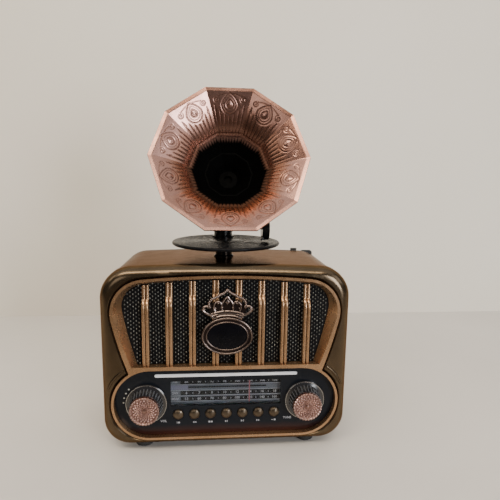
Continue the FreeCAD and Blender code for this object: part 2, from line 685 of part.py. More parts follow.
def dial_cord():
    """Closed loop round the drum and the idler pulley."""
    radius = CORD_LOOP_RADIUS
    y = at_depth(DRUM_DEPTH + 1.6)
    top, low = KNOB_Z + radius, KNOB_Z - radius
    edges = [
        Part.LineSegment(V(PULLEY_X, y, top), V(KNOB_X, y, top)).toShape(),
        Part.Arc(V(KNOB_X, y, top), V(KNOB_X + radius, y, KNOB_Z), V(KNOB_X, y, low)).toShape(),
        Part.LineSegment(V(KNOB_X, y, low), V(PULLEY_X, y, low)).toShape(),
        Part.Arc(V(PULLEY_X, y, low), V(PULLEY_X - radius, y, KNOB_Z), V(PULLEY_X, y, top)).toShape(),
    ]
    section = Part.Wire([Part.Circle(V(PULLEY_X, y, top), V(1, 0, 0), CORD_RADIUS).toShape()])
    return Part.Wire(edges).makePipeShell([section], True, True)


def grooved_wheel(x):
    """Cord wheel with two flanges."""
    front = DRUM_DEPTH
    outline = ((front, 0.0), (front, DRUM_RADIUS + 1.6), (front + 0.8, DRUM_RADIUS + 1.6),
               (front + 1.0, DRUM_RADIUS), (front + 2.2, DRUM_RADIUS), (front + 2.4, DRUM_RADIUS + 1.6),
               (front + 3.2, DRUM_RADIUS + 1.6), (front + 3.2, 0.0))
    return turned(x, KNOB_Z, outline)


def cord_pulley():
    axle = rod(PULLEY_X, KNOB_Z, 1.5 + RUN_GAP, DRUM_DEPTH - 1.0, DRUM_DEPTH + 5.0)
    return grooved_wheel(PULLEY_X).cut(axle)


def push_button(x):
    """Domed button with a stem that ends just in front of its switch."""
    flange = PANEL_BACK + 0.1
    stem_end = BOARD_DEPTH - SWITCH_HEIGHT - BUTTON_TRAVEL - 0.2
    outline = ((BUTTON_FRONT, 0.0), (BUTTON_FRONT + 0.15, 1.6), (BUTTON_FRONT + 0.6, 3.0),
               (BUTTON_FRONT + 1.3, 4.0), (BUTTON_FRONT + 2.1, BUTTON_RADIUS), (flange, BUTTON_RADIUS),
               (flange, BUTTON_RADIUS + 1.0), (flange + 1.0, BUTTON_RADIUS + 1.0), (flange + 1.0, 1.8),
               (stem_end, 1.8), (stem_end, 0.0))
    return turned(x, BUTTON_Z, outline)


def tact_switches():
    switches = []
    for x in BUTTON_XS:
        switches.append(box((x - 3.0, x + 3.0), (BOARD_DEPTH - SWITCH_HEIGHT, BOARD_DEPTH),
                            (BUTTON_Z - 3.0, BUTTON_Z + 3.0)))
    return group(switches)


def main_board():
    back = BOARD_DEPTH + 1.6
    board = box((-77.0, 77.0), (BOARD_DEPTH, back), (14.0, 71.0))
    chips = [box((x - 5.0, x + 5.0), (back - 0.1, back + 1.6), (48.0, 58.0)) for x in (-24.0, 4.0, 30.0)]
    axle = rod(PULLEY_X, KNOB_Z, 1.5, DRUM_DEPTH - 0.6, BOARD_DEPTH + 0.1)
    return fused([board, axle] + chips)


def knob_grip(side):
    """Black knob body: wide skirt at the panel and a ribbed cone that carries the cap."""
    x = side * KNOB_X
    front = -KNOB_REACH + KNOB_CAP_LENGTH
    outline = ((front, SHAFT_RADIUS + RUN_GAP), (front, KNOB_GRIP_RADIUS - 0.5), (2.0, KNOB_GRIP_RADIUS + 1.0),
               (2.6, KNOB_SKIRT_RADIUS - 1.0), (3.2, KNOB_SKIRT_RADIUS), (4.4, KNOB_SKIRT_RADIUS),
               (4.4, SHAFT_RADIUS + RUN_GAP))
    body = turned(x, KNOB_Z, outline)
    flutes = []
    for i in range(KNOB_RIBS):
        angle = 2 * math.pi * (i + 0.5) / KNOB_RIBS
        reach = KNOB_GRIP_RADIUS + 1.0
        centre = V(x + reach * math.cos(angle), at_depth(front - 1.0), KNOB_Z + reach * math.sin(angle))
        flutes.append(Part.makeCylinder(0.75, 2.0 - front + 0.6, centre, V(0, 1, 0)))
    return body.cut(flutes)


def knob_cap(side):
    """Copper cap with a scalloped rim and radial relief on its face."""
    x = side * KNOB_X
    front = -KNOB_REACH
    back = front + KNOB_CAP_LENGTH - 0.02
    outline = ((front + 0.5, 0.0), (front + 0.4, 1.8), (front + 1.1, 2.6), (front + 0.5, KNOB_CAP_RADIUS - 3.0),
               (front, KNOB_CAP_RADIUS - 1.8), (front + 0.3, KNOB_CAP_RADIUS - 0.6), (front + 1.2, KNOB_CAP_RADIUS),
               (back, KNOB_CAP_RADIUS), (back, 0.0))
    cap = turned(x, KNOB_Z, outline)
    notches = []
    for i in range(KNOB_RIBS):
        angle = 2 * math.pi * (i + 0.5) / KNOB_RIBS
        reach = KNOB_CAP_RADIUS + 0.55
        centre = V(x + reach * math.cos(angle), at_depth(front - 1.0), KNOB_Z + reach * math.sin(angle))
        notches.append(Part.makeCylinder(0.95, KNOB_CAP_LENGTH + 2.0, centre, V(0, 1, 0)))
    return cap.cut(notches)


def volume_shaft():
    return rod(-KNOB_X, KNOB_Z, SHAFT_RADIUS, -KNOB_REACH + KNOB_CAP_LENGTH, SHAFT_END)


def tuning_shaft():
    shaft = rod(KNOB_X, KNOB_Z, SHAFT_RADIUS, -KNOB_REACH + KNOB_CAP_LENGTH, SHAFT_END)
    return fused([shaft, grooved_wheel(KNOB_X)])


def volume_control():
    can_front = DRUM_DEPTH + 3.8
    can = rod(-KNOB_X, KNOB_Z, 8.5, can_front, BOARD_DEPTH)
    bush = rod(-KNOB_X, KNOB_Z, 5.0, PANEL_BACK, can_front + 0.2)
    return fused([can, bush]).cut(rod(-KNOB_X, KNOB_Z, SHAFT_RADIUS + RUN_GAP, 7.0, SHAFT_END + 0.2))


def tuning_capacitor():
    can = box((KNOB_X - 10.0, KNOB_X + 10.0), (DRUM_DEPTH + 3.8, BOARD_DEPTH), (KNOB_Z - 10.0, KNOB_Z + 10.0))
    return can.cut(rod(KNOB_X, KNOB_Z, SHAFT_RADIUS + RUN_GAP, DRUM_DEPTH, SHAFT_END + 0.2))


# ---- sockets --------------------------------------------------------------------------------------
def audio_jack():
    x = JACK_X[0]
    shell = box((x - 4.0, x + 4.0), (COVER_END - 16.0, COVER_END - 5.2), (JACK_Z - 4.0, JACK_Z + 4.0))
    nose = rod(x, JACK_Z, 3.1, COVER_END - 6.0, COVER_END)
    return fused([shell, nose]).cut(rod(x, JACK_Z, 1.8, COVER_END - 14.0, COVER_END + 1.0))


def usb_socket():
    x = JACK_X[1]
    shell = slot_plate((x - 6.9, x + 6.9), (JACK_Z - 3.3, JACK_Z + 3.3),
                       COVER_END - 16.0, COVER_END - 0.3, 0.6)
    hollow = box((x - 6.3, x + 6.3), (COVER_END - 14.0, COVER_END + 1.0), (JACK_Z - 2.7, JACK_Z + 2.7))
    tongue = box((x - 5.5, x + 5.5), (COVER_END - 15.0, COVER_END - 2.0), (JACK_Z - 0.2, JACK_Z + 1.6))
    return fused([shell.cut(hollow), tongue])


def charge_socket():
    x = JACK_X[2]
    shell = slot_plate((x - 4.9, x + 4.9), (JACK_Z - 2.1, JACK_Z + 2.1),
                       COVER_END - 9.0, COVER_END - 0.3, 2.0)
    hollow = slot_plate((x - 4.4, x + 4.4), (JACK_Z - 1.6, JACK_Z + 1.6),
                        COVER_END - 8.0, COVER_END + 1.0, 1.5)
    tongue = box((x - 3.3, x + 3.3), (COVER_END - 8.5, COVER_END - 2.0), (JACK_Z - 0.35, JACK_Z + 0.35))
    return fused([shell.cut(hollow), tongue])


# ---- antenna --------------------------------------------------------------------------------------
def antenna_axis(offset):
    """Point on the folded antenna's centre line, offset from the pivot towards the tip."""
    x, depth, z = ANTENNA_PIVOT
    return V(x - offset, at_depth(depth), z)


def antenna_base():
    x, depth, z = ANTENNA_PIVOT
    pad = slot_plate((x - 6.0, x + 6.0), (z - 7.0, z + 4.0), COVER_END, COVER_END + 2.0, 2.5)
    boss = rod(x, z, 3.6, COVER_END + 1.9, depth - 3.4)
    return fused([pad, boss]).cut(rod(x, z, 1.2 + RUN_GAP, COVER_END + 1.0, depth))


def antenna_knuckle():
    """Fork that turns on the base; the rod's root tilts between its ears."""
    x, depth, z = ANTENNA_PIVOT
    pin = rod(x, z, 1.2, COVER_END + 1.2, depth - 2.9)
    disc = rod(x, z, 3.6, depth - 3.3, depth - 1.9)
    ears = [rod_up(x, depth, 3.2, z + low, z + low + 1.0) for low in (1.5, -2.5)]
    webs = [box((x - 3.2, x + 3.2), (depth - 2.2, depth), (z + low, z + low + 1.0)) for low in (1.5, -2.5)]
    axle = rod_up(x, depth, 0.8, z - 2.4, z + 2.4)
    return fused([pin, disc, axle] + ears + webs)


def rod_up(x, depth, radius, low, high):
    return post(x, depth, radius, low, high)


def tube_along(start, end, radius, bore):
    """Tube on the folded antenna's centre line."""
    outer = Part.makeCylinder(radius, end - start, antenna_axis(start), V(-1, 0, 0))
    return outer.cut(Part.makeCylinder(bore, end - start + 2.0, antenna_axis(start - 1.0), V(-1, 0, 0)))


def antenna_tube_1():
    x, depth, z = ANTENNA_PIVOT
    root = rod_up(x, depth, 1.6, z - 1.4, z + 1.4)
    neck = Part.makeCylinder(1.3, 8.0, antenna_axis(0.5), V(-1, 0, 0))
    solid_end = Part.makeCylinder(ANTENNA_RADII[0], 3.0, antenna_axis(6.0), V(-1, 0, 0))
    tube = tube_along(9.0, ANTENNA_LENGTH, ANTENNA_RADII[0], ANTENNA_RADII[1] + RUN_GAP)
    pin_hole = rod_up(x, depth, 0.8 + RUN_GAP, z - 3.0, z + 3.0)
    return fused([root, neck, solid_end, tube]).cut(pin_hole)


def antenna_tube_2():
    return tube_along(12.0, ANTENNA_LENGTH + 1.5, ANTENNA_RADII[1], ANTENNA_RADII[2] + RUN_GAP)


def antenna_tube_3():
    core = Part.makeCylinder(ANTENNA_RADII[2], ANTENNA_LENGTH - 12.0, antenna_axis(15.0), V(-1, 0, 0))
    knob = Part.makeCylinder(3.0, 3.2, antenna_axis(ANTENNA_LENGTH + 2.2), V(-1, 0, 0))
    knob = knob.makeFillet(0.9, knob.Edges)
    return fused([core, knob])


def antenna_rest():
    """Shelf that the folded rod lies on, open upwards and to the back."""
    x = ANTENNA_PIVOT[0] - 13.0
    depth, z = ANTENNA_PIVOT[1], ANTENNA_PIVOT[2]
    wall = box((x - 3.0, x + 3.0), (COVER_END, COVER_END + 2.4), (z - 7.0, z + 6.0))
    shelf = box((x - 3.0, x + 3.0), (COVER_END, depth + 3.0), (z - 5.2, z - ANTENNA_RADII[0] - 0.1))
    return fused([wall, shelf])


# ---- record, pedestal and horn --------------------------------------------------------------------
def pedestal():
    case = case_outer()
    column = turned_upright(POST_X, DISC_DEPTH, (
        (0.0, BODY_TOP - 2.0), (PEDESTAL_RADIUS + 1.4, BODY_TOP - 2.0), (PEDESTAL_RADIUS + 1.4, BODY_TOP - 0.4),
        (PEDESTAL_RADIUS, BODY_TOP + 0.6), (PEDESTAL_RADIUS, DISC_BOTTOM), (0.0, DISC_BOTTOM)))
    nut_top = BODY_TOP - HOUSING_INSET - WALL - 0.1
    stud = post(POST_X, DISC_DEPTH, 1.5, nut_top - 8.0, BODY_TOP + 1.0)
    nut = post(POST_X, DISC_DEPTH, 3.2, nut_top - 2.4, nut_top)
    return fused([column.cut(case), stud, nut])


def record_disc():
    low, high = DISC_BOTTOM, DISC_TOP
    outline = [(0.0, low), (DISC_RADIUS - 1.4, low), (DISC_RADIUS - 0.3, low + 0.7), (DISC_RADIUS, low + 1.5),
               (DISC_RADIUS - 0.3, high - 0.7), (DISC_RADIUS - 1.4, high), (17.6, high), (17.2, high - 0.4),
               (16.4, high - 0.4), (16.0, high), (0.0, high)]
    return turned_upright(0.0, DISC_DEPTH, outline)


def neck_socket():
    outline = ((NECK_RADIUS + RUN_GAP, DISC_TOP), (SOCKET_RADIUS + 1.6, DISC_TOP), (SOCKET_RADIUS + 1.6, DISC_TOP + 1.2),
               (SOCKET_RADIUS, DISC_TOP + 2.0), (SOCKET_RADIUS, DISC_TOP + SOCKET_HEIGHT),
               (NECK_RADIUS + RUN_GAP, DISC_TOP + SOCKET_HEIGHT))
    return turned_upright(POST_X, NECK_DEPTH, outline)


def horn_point(behind, up=0.0, side=0.0):
    """Point in the horn's own frame: distance behind the mouth, up in the mouth's plane, and sideways."""
    return V(HORN_X + side,
             at_depth(HORN_DEPTH) + behind * math.cos(TILT) + up * math.sin(TILT),
             HORN_Z - behind * math.sin(TILT) + up * math.cos(TILT))


def decagon(behind, flat_distance):
    """Ten-sided outline square to the horn's axis, with flats at the top and bottom."""
    radius = flat_distance / math.cos(math.pi / HORN_SIDES)
    corners = []
    for i in range(HORN_SIDES):
        angle = math.pi / 2 + math.pi / HORN_SIDES + 2 * math.pi * i / HORN_SIDES
        corners.append(horn_point(behind, radius * math.sin(angle), radius * math.cos(angle)))
    return Part.makePolygon(corners + [corners[0]])


def stacked(profile):
    """Ruled solid through ten-sided sections."""
    return Part.makeLoft([decagon(behind, flat) for behind, flat in profile], True, True)


def thickened(profile, wall):
    """Profile moved outwards by the wall, square to its own slope."""
    moved = []
    for i, (behind, flat) in enumerate(profile):
        before = profile[max(i - 1, 0)]
        after = profile[min(i + 1, len(profile) - 1)]
        along, drop = after[0] - before[0], before[1] - after[1]
        length = math.hypot(along, drop)
        moved.append((behind + wall * drop / length, flat + wall * along / length))
    return moved


def horn_bell():
    outer = thickened(BELL_PROFILE, HORN_WALL)
    rim_flat = BELL_PROFILE[0][1] + 0.5
    shell = [(0.0, rim_flat), (HORN_LIP, rim_flat)] + outer[2:-1]
    last = BELL_PROFILE[-1][0]
    shell.append((last, outer[-1][1]))
    mouth, chamfer = BELL_PROFILE[0], BELL_PROFILE[1]
    ahead = (mouth[0] - chamfer[0], 2 * mouth[1] - chamfer[1])
    bore = [ahead] + list(BELL_PROFILE)[1:-1] + [(last + 0.01, BELL_PROFILE[-1][1])]
    return stacked(shell).cut(stacked(bore))


def horn_throat():
    """Black cone behind the bell, whose front edge sits inside it."""
    start, front_flat = THROAT_PROFILE[0]
    bell_end = BELL_PROFILE[-1][0]
    outer = [(start, BELL_PROFILE[-1][1] + 0.35), (bell_end, BELL_PROFILE[-1][1] - 0.1),
             (bell_end + 0.1, BELL_PROFILE[-1][1] + 1.6), (46.0, 15.6), (52.0, 10.6), (57.0, 9.6)]
    cone = stacked(outer)
    bore = [(start - 0.1, front_flat + 0.1)] + list(THROAT_PROFILE)
    axis = horn_point(1.0) - horn_point(0.0)
    tail = Part.makeCylinder(4.0, 3.0, horn_point(THROAT_PROFILE[-1][0] - 0.5), axis)
    return cone.cut([stacked(bore), tail])


def rounded_path(points, radii):
    """Straight runs joined by tangent arcs."""
    edges = []
    start = points[0]
    for i in range(1, len(points) - 1):
        before = (points[i - 1] - points[i]).normalize()
        after = (points[i + 1] - points[i]).normalize()
        half_turn = (math.pi - before.getAngle(after)) / 2
        cut = radii[i - 1] * math.tan(half_turn)
        first, last = points[i] + before * cut, points[i] + after * cut
        bisector = (before + after).normalize()
        centre = points[i] + bisector * (radii[i - 1] / math.cos(half_turn))
        edges.append(Part.LineSegment(start, first).toShape())
        edges.append(Part.Arc(first, centre - bisector * radii[i - 1], last).toShape())
        start = last
    edges.append(Part.LineSegment(start, points[-1]).toShape())
    return Part.Wire(edges)


def pipe(points, radii, radius):
    path = rounded_path(points, radii)
    section = Part.Wire([Part.Circle(points[0], points[1] - points[0], radius).toShape()])
    return path.makePipeShell([section], True, False)


def horn_neck():
    """Curved tube from the socket on the record up to the back of the horn."""
    foot = V(POST_X, at_depth(NECK_DEPTH), DISC_TOP + 0.4)
    knee = V(POST_X, at_depth(NECK_DEPTH), NECK_KNEE_Z)
    elbow = horn_point(72.5)
    end = horn_point(57.1)
    return pipe([foot, knee, elbow, end], (12.0, NECK_BEND_RADIUS * 0.62), NECK_RADIUS)


def sound_box():
    """Round reproducer head on edge, with its needle just above the record."""
    centre = V(ARM_X, at_depth(ARM_DEPTH), ARM_Z)
    left = centre - V(SOUND_BOX_WIDTH / 2, 0, 0)
    drum = Part.makeCylinder(SOUND_BOX_RADIUS, SOUND_BOX_WIDTH, left, V(1, 0, 0))
    drum = drum.makeFillet(0.9, drum.Edges)
    needle = Part.makeCone(1.9, 0.7, 5.0, centre + V(-0.8, -4.2, -6.6), V(-0.62, -0.45, -0.55))
    return fused([drum, needle])


def tonearm():
    """Tube from the sound box back to a clamp round the neck."""
    low = DISC_TOP + SOCKET_HEIGHT + 0.3
    middle = low + CLAMP_HEIGHT / 2
    points = [V(ARM_X, at_depth(ARM_DEPTH) + SOUND_BOX_RADIUS - 2.0, ARM_Z),
              V(ARM_X, at_depth(NECK_DEPTH) - 2.0, ARM_Z - 1.0), V(4.0, at_depth(NECK_DEPTH), middle)]
    arm = pipe(points, (9.0,), ARM_RADIUS)
    clamp = post(POST_X, NECK_DEPTH, NECK_RADIUS + 2.2, low, low + CLAMP_HEIGHT)
    bore = post(POST_X, NECK_DEPTH, NECK_RADIUS, DISC_TOP, NECK_KNEE_Z)
    return fused([arm, clamp]).cut([bore, sound_box()])


# ---- build ----------------------------------------------------------------------------------------
def build():
    pieces = {
        "front_bezel": front_bezel, "rear_housing": rear_housing, "rear_cover": rear_cover,
        "case_screws": case_screws, "battery_door": battery_door, "battery_cell": battery_cell,
        "rubber_feet": rubber_feet, "trim_frame": trim_frame, "grille_bars": grille_bars,
        "speaker_mesh": speaker_mesh, "baffle_board": baffle_board, "speaker_basket": speaker_basket,
        "speaker_cone": speaker_cone, "speaker_magnet": speaker_magnet,
        "speaker_screws": speaker_screws, "crown_emblem": crown_emblem,
        "oval_ring": oval_ring, "oval_lens": oval_lens, "dial_panel": dial_panel,
        "dial_window": dial_window, "dial_scale": dial_scale, "light_strip": light_strip,
        "indicator_leds": indicator_leds, "dial_pointer": dial_pointer, "dial_cord": dial_cord,
        "cord_pulley": cord_pulley, "tact_switches": tact_switches, "main_board": main_board,
        "volume_shaft": volume_shaft, "volume_control": volume_control, "tuning_shaft": tuning_shaft,
        "tuning_capacitor": tuning_capacitor, "audio_jack": audio_jack, "usb_socket": usb_socket,
        "charge_socket": charge_socket, "antenna_base": antenna_base, "antenna_rest": antenna_rest,
        "antenna_knuckle": antenna_knuckle, "antenna_tube_1": antenna_tube_1,
        "antenna_tube_2": antenna_tube_2, "antenna_tube_3": antenna_tube_3, "pedestal": pedestal,
        "record_disc": record_disc, "neck_socket": neck_socket, "horn_neck": horn_neck,
        "horn_throat": horn_throat, "horn_bell": horn_bell, "sound_box": sound_box, "tonearm": tonearm,
    }
    os.makedirs("parts", exist_ok=True)
    for name, make in pieces.items():
        save(name, make())
    for name, side in (("volume", -1), ("tuning", 1)):
        save(f"{name}_grip", knob_grip(side))
        save(f"{name}_cap", knob_cap(side))
    for number, x in enumerate(BUTTON_XS, start=1):
        save(f"button_{number}", push_button(x))


build()
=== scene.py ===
"""Looks of a table radio with a gramophone horn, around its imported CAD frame.

Shape constants are in millimetres, and MM turns them into the scene's metres. X and Z are those of the
CAD frame, and depth() turns a distance behind the bezel's front plane into Y.
"""
import json
import math
import random

import bmesh
import bpy
import numpy as np
from mathutils import Matrix, Vector


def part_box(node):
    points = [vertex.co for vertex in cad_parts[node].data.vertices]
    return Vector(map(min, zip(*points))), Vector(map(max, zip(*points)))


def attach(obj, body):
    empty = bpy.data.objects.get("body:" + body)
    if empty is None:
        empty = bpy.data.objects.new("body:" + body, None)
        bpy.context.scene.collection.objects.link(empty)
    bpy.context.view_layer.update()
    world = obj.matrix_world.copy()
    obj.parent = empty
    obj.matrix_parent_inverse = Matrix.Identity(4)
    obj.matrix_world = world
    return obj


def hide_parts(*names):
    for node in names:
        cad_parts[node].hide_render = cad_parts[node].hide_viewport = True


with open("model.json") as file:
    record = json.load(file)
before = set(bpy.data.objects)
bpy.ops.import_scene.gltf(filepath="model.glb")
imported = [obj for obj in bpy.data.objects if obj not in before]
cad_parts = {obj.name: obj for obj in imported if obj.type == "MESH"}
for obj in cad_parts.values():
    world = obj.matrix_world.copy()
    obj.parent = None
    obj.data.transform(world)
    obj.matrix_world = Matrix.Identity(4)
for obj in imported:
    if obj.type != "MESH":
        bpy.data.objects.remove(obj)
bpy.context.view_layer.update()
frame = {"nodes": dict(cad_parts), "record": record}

MM = 0.001
FACE_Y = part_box("trim_frame")[0].y  # the bezel's front plane


def depth(millimetres):
    """Y of a plane this far behind the bezel's front plane."""
    return FACE_Y + millimetres * MM


# ---- material building ----
CLOUD_RANGE = (0.3, 0.7)  # the part of a noise's range that makes colours
SMEAR_RANGE = (0.25, 0.75)  # the part that makes roughness
FINE = 0.0001  # relief of a fine surface texture


class Paint:
    """A principled material with its nodes, read in the part's own coordinates."""

    def __init__(self, name, **sockets):
        self.material = bpy.data.materials.new(name)
        self.material.use_nodes = True
        self.tree = self.material.node_tree
        self.surface = self.tree.nodes["Principled BSDF"]
        self.place = self.node("ShaderNodeTexCoord").outputs["Object"]
        for socket, value in sockets.items():
            self.surface.inputs[socket.replace("_", " ")].default_value = value

    def node(self, kind, inputs=(), **settings):
        made = self.tree.nodes.new(kind)
        for key, value in settings.items():
            setattr(made, key, value)
        for key, value in dict(inputs).items():
            self.put(made.inputs[key], value)
        return made

    def put(self, socket, value):
        """Links a socket to another one, or sets it to a constant."""
        if isinstance(value, bpy.types.NodeSocket):
            self.tree.links.new(value, socket)
        else:
            socket.default_value = value

    def noise(self, scale, detail, roughness=0.55):
        inputs = {"Vector": self.place, "Scale": scale, "Detail": detail, "Roughness": roughness}
        return self.node("ShaderNodeTexNoise", inputs).outputs["Fac"]

    def cloud(self, scale, detail):
        """Noise stretched to the whole range from 0 to 1."""
        return self.remap(self.noise(scale, detail), *CLOUD_RANGE)

    def math(self, operation, a, b):
        return self.node("ShaderNodeMath", {0: a, 1: b}, operation=operation).outputs[0]

    def remap(self, value, low, high, to_low=0.0, to_high=1.0):
        inputs = {"Value": value, "From Min": low, "From Max": high, "To Min": to_low, "To Max": to_high}
        return self.node("ShaderNodeMapRange", inputs).outputs["Result"]

    def mix(self, factor, a, b):
        made = self.node("ShaderNodeMix", data_type="RGBA")
        for index, value in ((0, factor), (6, a), (7, b)):
            self.put(made.inputs[index], value)
        return made.outputs[2]

    def attribute(self, name):
        return self.node("ShaderNodeAttribute", attribute_name=name).outputs["Fac"]

    def axis(self, name):
        return self.node("ShaderNodeSeparateXYZ", {0: self.place}).outputs[name]

    def feed(self, socket, value):
        self.tree.links.new(value, self.surface.inputs[socket])

    def uneven_gloss(self, noise, smoothest, roughest):
        self.feed("Roughness", self.remap(noise, *SMEAR_RANGE, smoothest, roughest))

    def bump(self, scale, strength, detail=2.0, distance=FINE):
        height = self.noise(scale, detail)
        made = self.node("ShaderNodeBump", {"Height": height, "Strength": strength, "Distance": distance})
        self.feed("Normal", made.outputs["Normal"])


def rgb(red, green, blue):
    return (red, green, blue, 1.0)


def grey(level):
    return rgb(level, level, level)


WHITE = grey(1.0)


def metal_paint(name, dark, light, roughness, metallic, painted_light=None, edge=WHITE):
    """Lacquered or plated surface: cloudy colour, uneven gloss and a fine grain.

    worn is the colour of painted shade that ambient occlusion lays into crevices, and edge tints the gloss
    at a grazing angle.
    """
    paint = Paint(name, Metallic=metallic, Specular_Tint=edge)
    colour = paint.mix(paint.cloud(38.0, 5.0), dark, light)
    if painted_light:
        # painted shade: ambient occlusion darkens the colour in crevices
        crevice = paint.node("ShaderNodeAmbientOcclusion", {"Distance": 0.003}, samples=4).outputs["AO"]
        colour = paint.mix(paint.remap(crevice, 0.2, 0.8), painted_light, colour)
    paint.feed("Base Color", colour)
    paint.uneven_gloss(paint.noise(120.0, 6.0, 0.65), roughness * 0.8, roughness * 1.25)
    paint.bump(300.0, 0.02)
    return paint.material


def plastic_paint(name, dark, light, roughness, grain=1800.0, bump=0.1, specular=0.5):
    """Moulded plastic, rubber, paper or wood: faint clouding, uneven gloss and a surface texture."""
    paint = Paint(name, Specular_IOR_Level=specular)
    paint.feed("Base Color", paint.mix(paint.cloud(60.0, 4.0), dark, light))
    paint.uneven_gloss(paint.noise(200.0, 5.0), roughness * 0.8, roughness * 1.2)
    paint.bump(grain, bump)
    return paint.material


# ---- finishes ----
# slot: darkest and lightest colour, roughness, metallic share, and what else is special
METALS = {
    "case_bronze": (rgb(0.092, 0.067, 0.042), rgb(0.13, 0.096, 0.062), 0.22, 0.95,
                    {"edge": rgb(0.60, 0.45, 0.37)}),
    # antique_gold: its crevice colour is painted shade, laid in by ambient occlusion
    "antique_gold": (rgb(0.37, 0.222, 0.12), rgb(0.50, 0.31, 0.18), 0.27, 0.85,
                     {"painted_light": rgb(0.10, 0.04, 0.015)}),
    "steel": (rgb(0.48, 0.47, 0.46), grey(0.6), 0.3, 1.0, {}),
    "badge_silver": (rgb(0.14, 0.105, 0.092), rgb(0.26, 0.205, 0.185), 0.24, 1.0, {}),
    "badge_dark": (rgb(0.016, 0.010, 0.009), rgb(0.035, 0.022, 0.019), 0.35, 0.8, {}),
    "button_bronze": (rgb(0.095, 0.073, 0.053), rgb(0.148, 0.117, 0.084), 0.3, 1.0, {}),
    "socket_nickel": (rgb(0.5, 0.5, 0.48), rgb(0.66, 0.65, 0.63), 0.25, 1.0, {}),
    "antenna_chrome": (rgb(0.62, 0.62, 0.63), rgb(0.74, 0.74, 0.76), 0.1, 1.0, {}),
}
SMOOTH = {"bump": 0.03}
# slot: darkest and lightest colour, roughness, and what else is special
PLASTICS = {
    "back_black": (rgb(0.016, 0.015, 0.014), rgb(0.026, 0.024, 0.022), 0.5, {"grain": 1400.0, "bump": 0.35}),
    "board_wood": (rgb(0.30, 0.19, 0.10), rgb(0.42, 0.29, 0.16), 0.7, {"grain": 900.0, "bump": 0.3}),
    "magnet_black": (grey(0.03), grey(0.06), 0.6, {}),
    "cone_paper": (grey(0.02), grey(0.04), 0.8, {"grain": 1200.0, "bump": 0.5}),
    "badge_lens": (rgb(0.002, 0.002, 0.003), rgb(0.004, 0.004, 0.006), 0.12,
                   {"bump": 0.02, "specular": 0.12}),
    "scale_print": (rgb(0.065, 0.08, 0.105), rgb(0.095, 0.11, 0.14), 0.4, SMOOTH),
    "scale_marks": (rgb(0.33, 0.34, 0.38), rgb(0.42, 0.43, 0.47), 0.45, SMOOTH),
    "scale_lilac": (rgb(0.13, 0.13, 0.20), rgb(0.17, 0.17, 0.25), 0.45, SMOOTH),
    "light_diffuser": (rgb(0.72, 0.74, 0.8), rgb(0.84, 0.86, 0.9), 0.35, SMOOTH),
    "led_clear": (rgb(0.36, 0.36, 0.33), rgb(0.48, 0.48, 0.45), 0.15, {"bump": 0.02}),
    "pointer_red": (rgb(0.30, 0.07, 0.09), rgb(0.38, 0.10, 0.12), 0.3, SMOOTH),
    "cord_white": (rgb(0.6, 0.57, 0.5), rgb(0.75, 0.72, 0.65), 0.7, {"grain": 2500.0, "bump": 0.5}),
    "inner_plastic": (rgb(0.55, 0.55, 0.5), rgb(0.68, 0.68, 0.63), 0.4, {}),
    "circuit_green": (rgb(0.02, 0.11, 0.05), rgb(0.04, 0.18, 0.08), 0.35, {}),
    "switch_black": (grey(0.02), grey(0.035), 0.4, {}),
    "knob_black": (rgb(0.008, 0.008, 0.010), rgb(0.016, 0.016, 0.019), 0.16,
                   {"bump": 0.03, "specular": 0.9}),
    # knob ridges: the ridges are real shape, and their grey is a painted highlight on them
    "knob_highlight_grey": (rgb(0.07, 0.073, 0.082), rgb(0.11, 0.115, 0.125), 0.25, {}),
    "cell_blue": (rgb(0.03, 0.07, 0.2), rgb(0.06, 0.11, 0.27), 0.35, {}),
    "record_black": (rgb(0.004, 0.004, 0.005), rgb(0.008, 0.008, 0.009), 0.28,
                     {"bump": 0.03, "specular": 0.08}),
    "post_black": (grey(0.004), grey(0.008), 0.18, {"bump": 0.03, "specular": 0.25}),
    # horn_black: the throat piece's almost lightless black is painted shade for the darkness deep in the
    # horn
    "horn_black": (grey(0.0004), grey(0.001), 0.6, {"bump": 0.05, "specular": 0.03}),
    "foot_rubber": (grey(0.012), grey(0.022), 0.75, {"grain": 1600.0, "bump": 0.4}),
}


def horn_copper():
    """Pink copper lacquer, dark in the engraving, with painted shade that deepens to black towards the
    throat and a painted warm reflection on the lower petals.
    """
    paint = Paint("horn_copper", Coat_Roughness=0.1)
    copper = paint.mix(paint.cloud(26.0, 5.0), rgb(0.36, 0.18, 0.135), rgb(0.515, 0.285, 0.228))
    # painted reflection: a warm orange on the lower petals, deeper in the bell, stands in for the warm light
    # they reflect
    copper = paint.mix(paint.math("MULTIPLY", paint.attribute("painted_warm_reflection"), 0.8), copper, rgb(0.62, 0.24, 0.09))
    # painted shade: the copper darkens deeper in the bell
    copper = paint.mix(paint.attribute("painted_depth_shade"), copper, rgb(0.12, 0.06, 0.045))
    engraved = paint.math("MULTIPLY", paint.attribute("engraved"), 0.72)
    copper = paint.mix(engraved, copper, rgb(0.10, 0.045, 0.03))
    # painted shade: the deep throat turns black and loses its metal, gloss and coat
    painted_throat_shade = paint.attribute("painted_throat_shade")
    paint.feed("Base Color", paint.mix(painted_throat_shade, copper, grey(0.001)))
    paint.feed("Metallic", paint.remap(painted_throat_shade, 0.0, 0.9, 1.0, 0.0))
    paint.feed("Specular IOR Level", paint.remap(painted_throat_shade, 0.0, 1.0, 0.5, 0.03))
    paint.feed("Coat Weight", paint.remap(painted_throat_shade, 0.0, 0.6, 0.3, 0.0))
    smear = paint.remap(paint.noise(90.0, 6.0, 0.65), *SMEAR_RANGE, 0.20, 0.33)
    paint.feed("Roughness", paint.math("ADD", smear, paint.math("MULTIPLY", painted_throat_shade, 0.3)))
    paint.bump(420.0, 0.06, detail=3.0, distance=0.0002)
    return paint.material


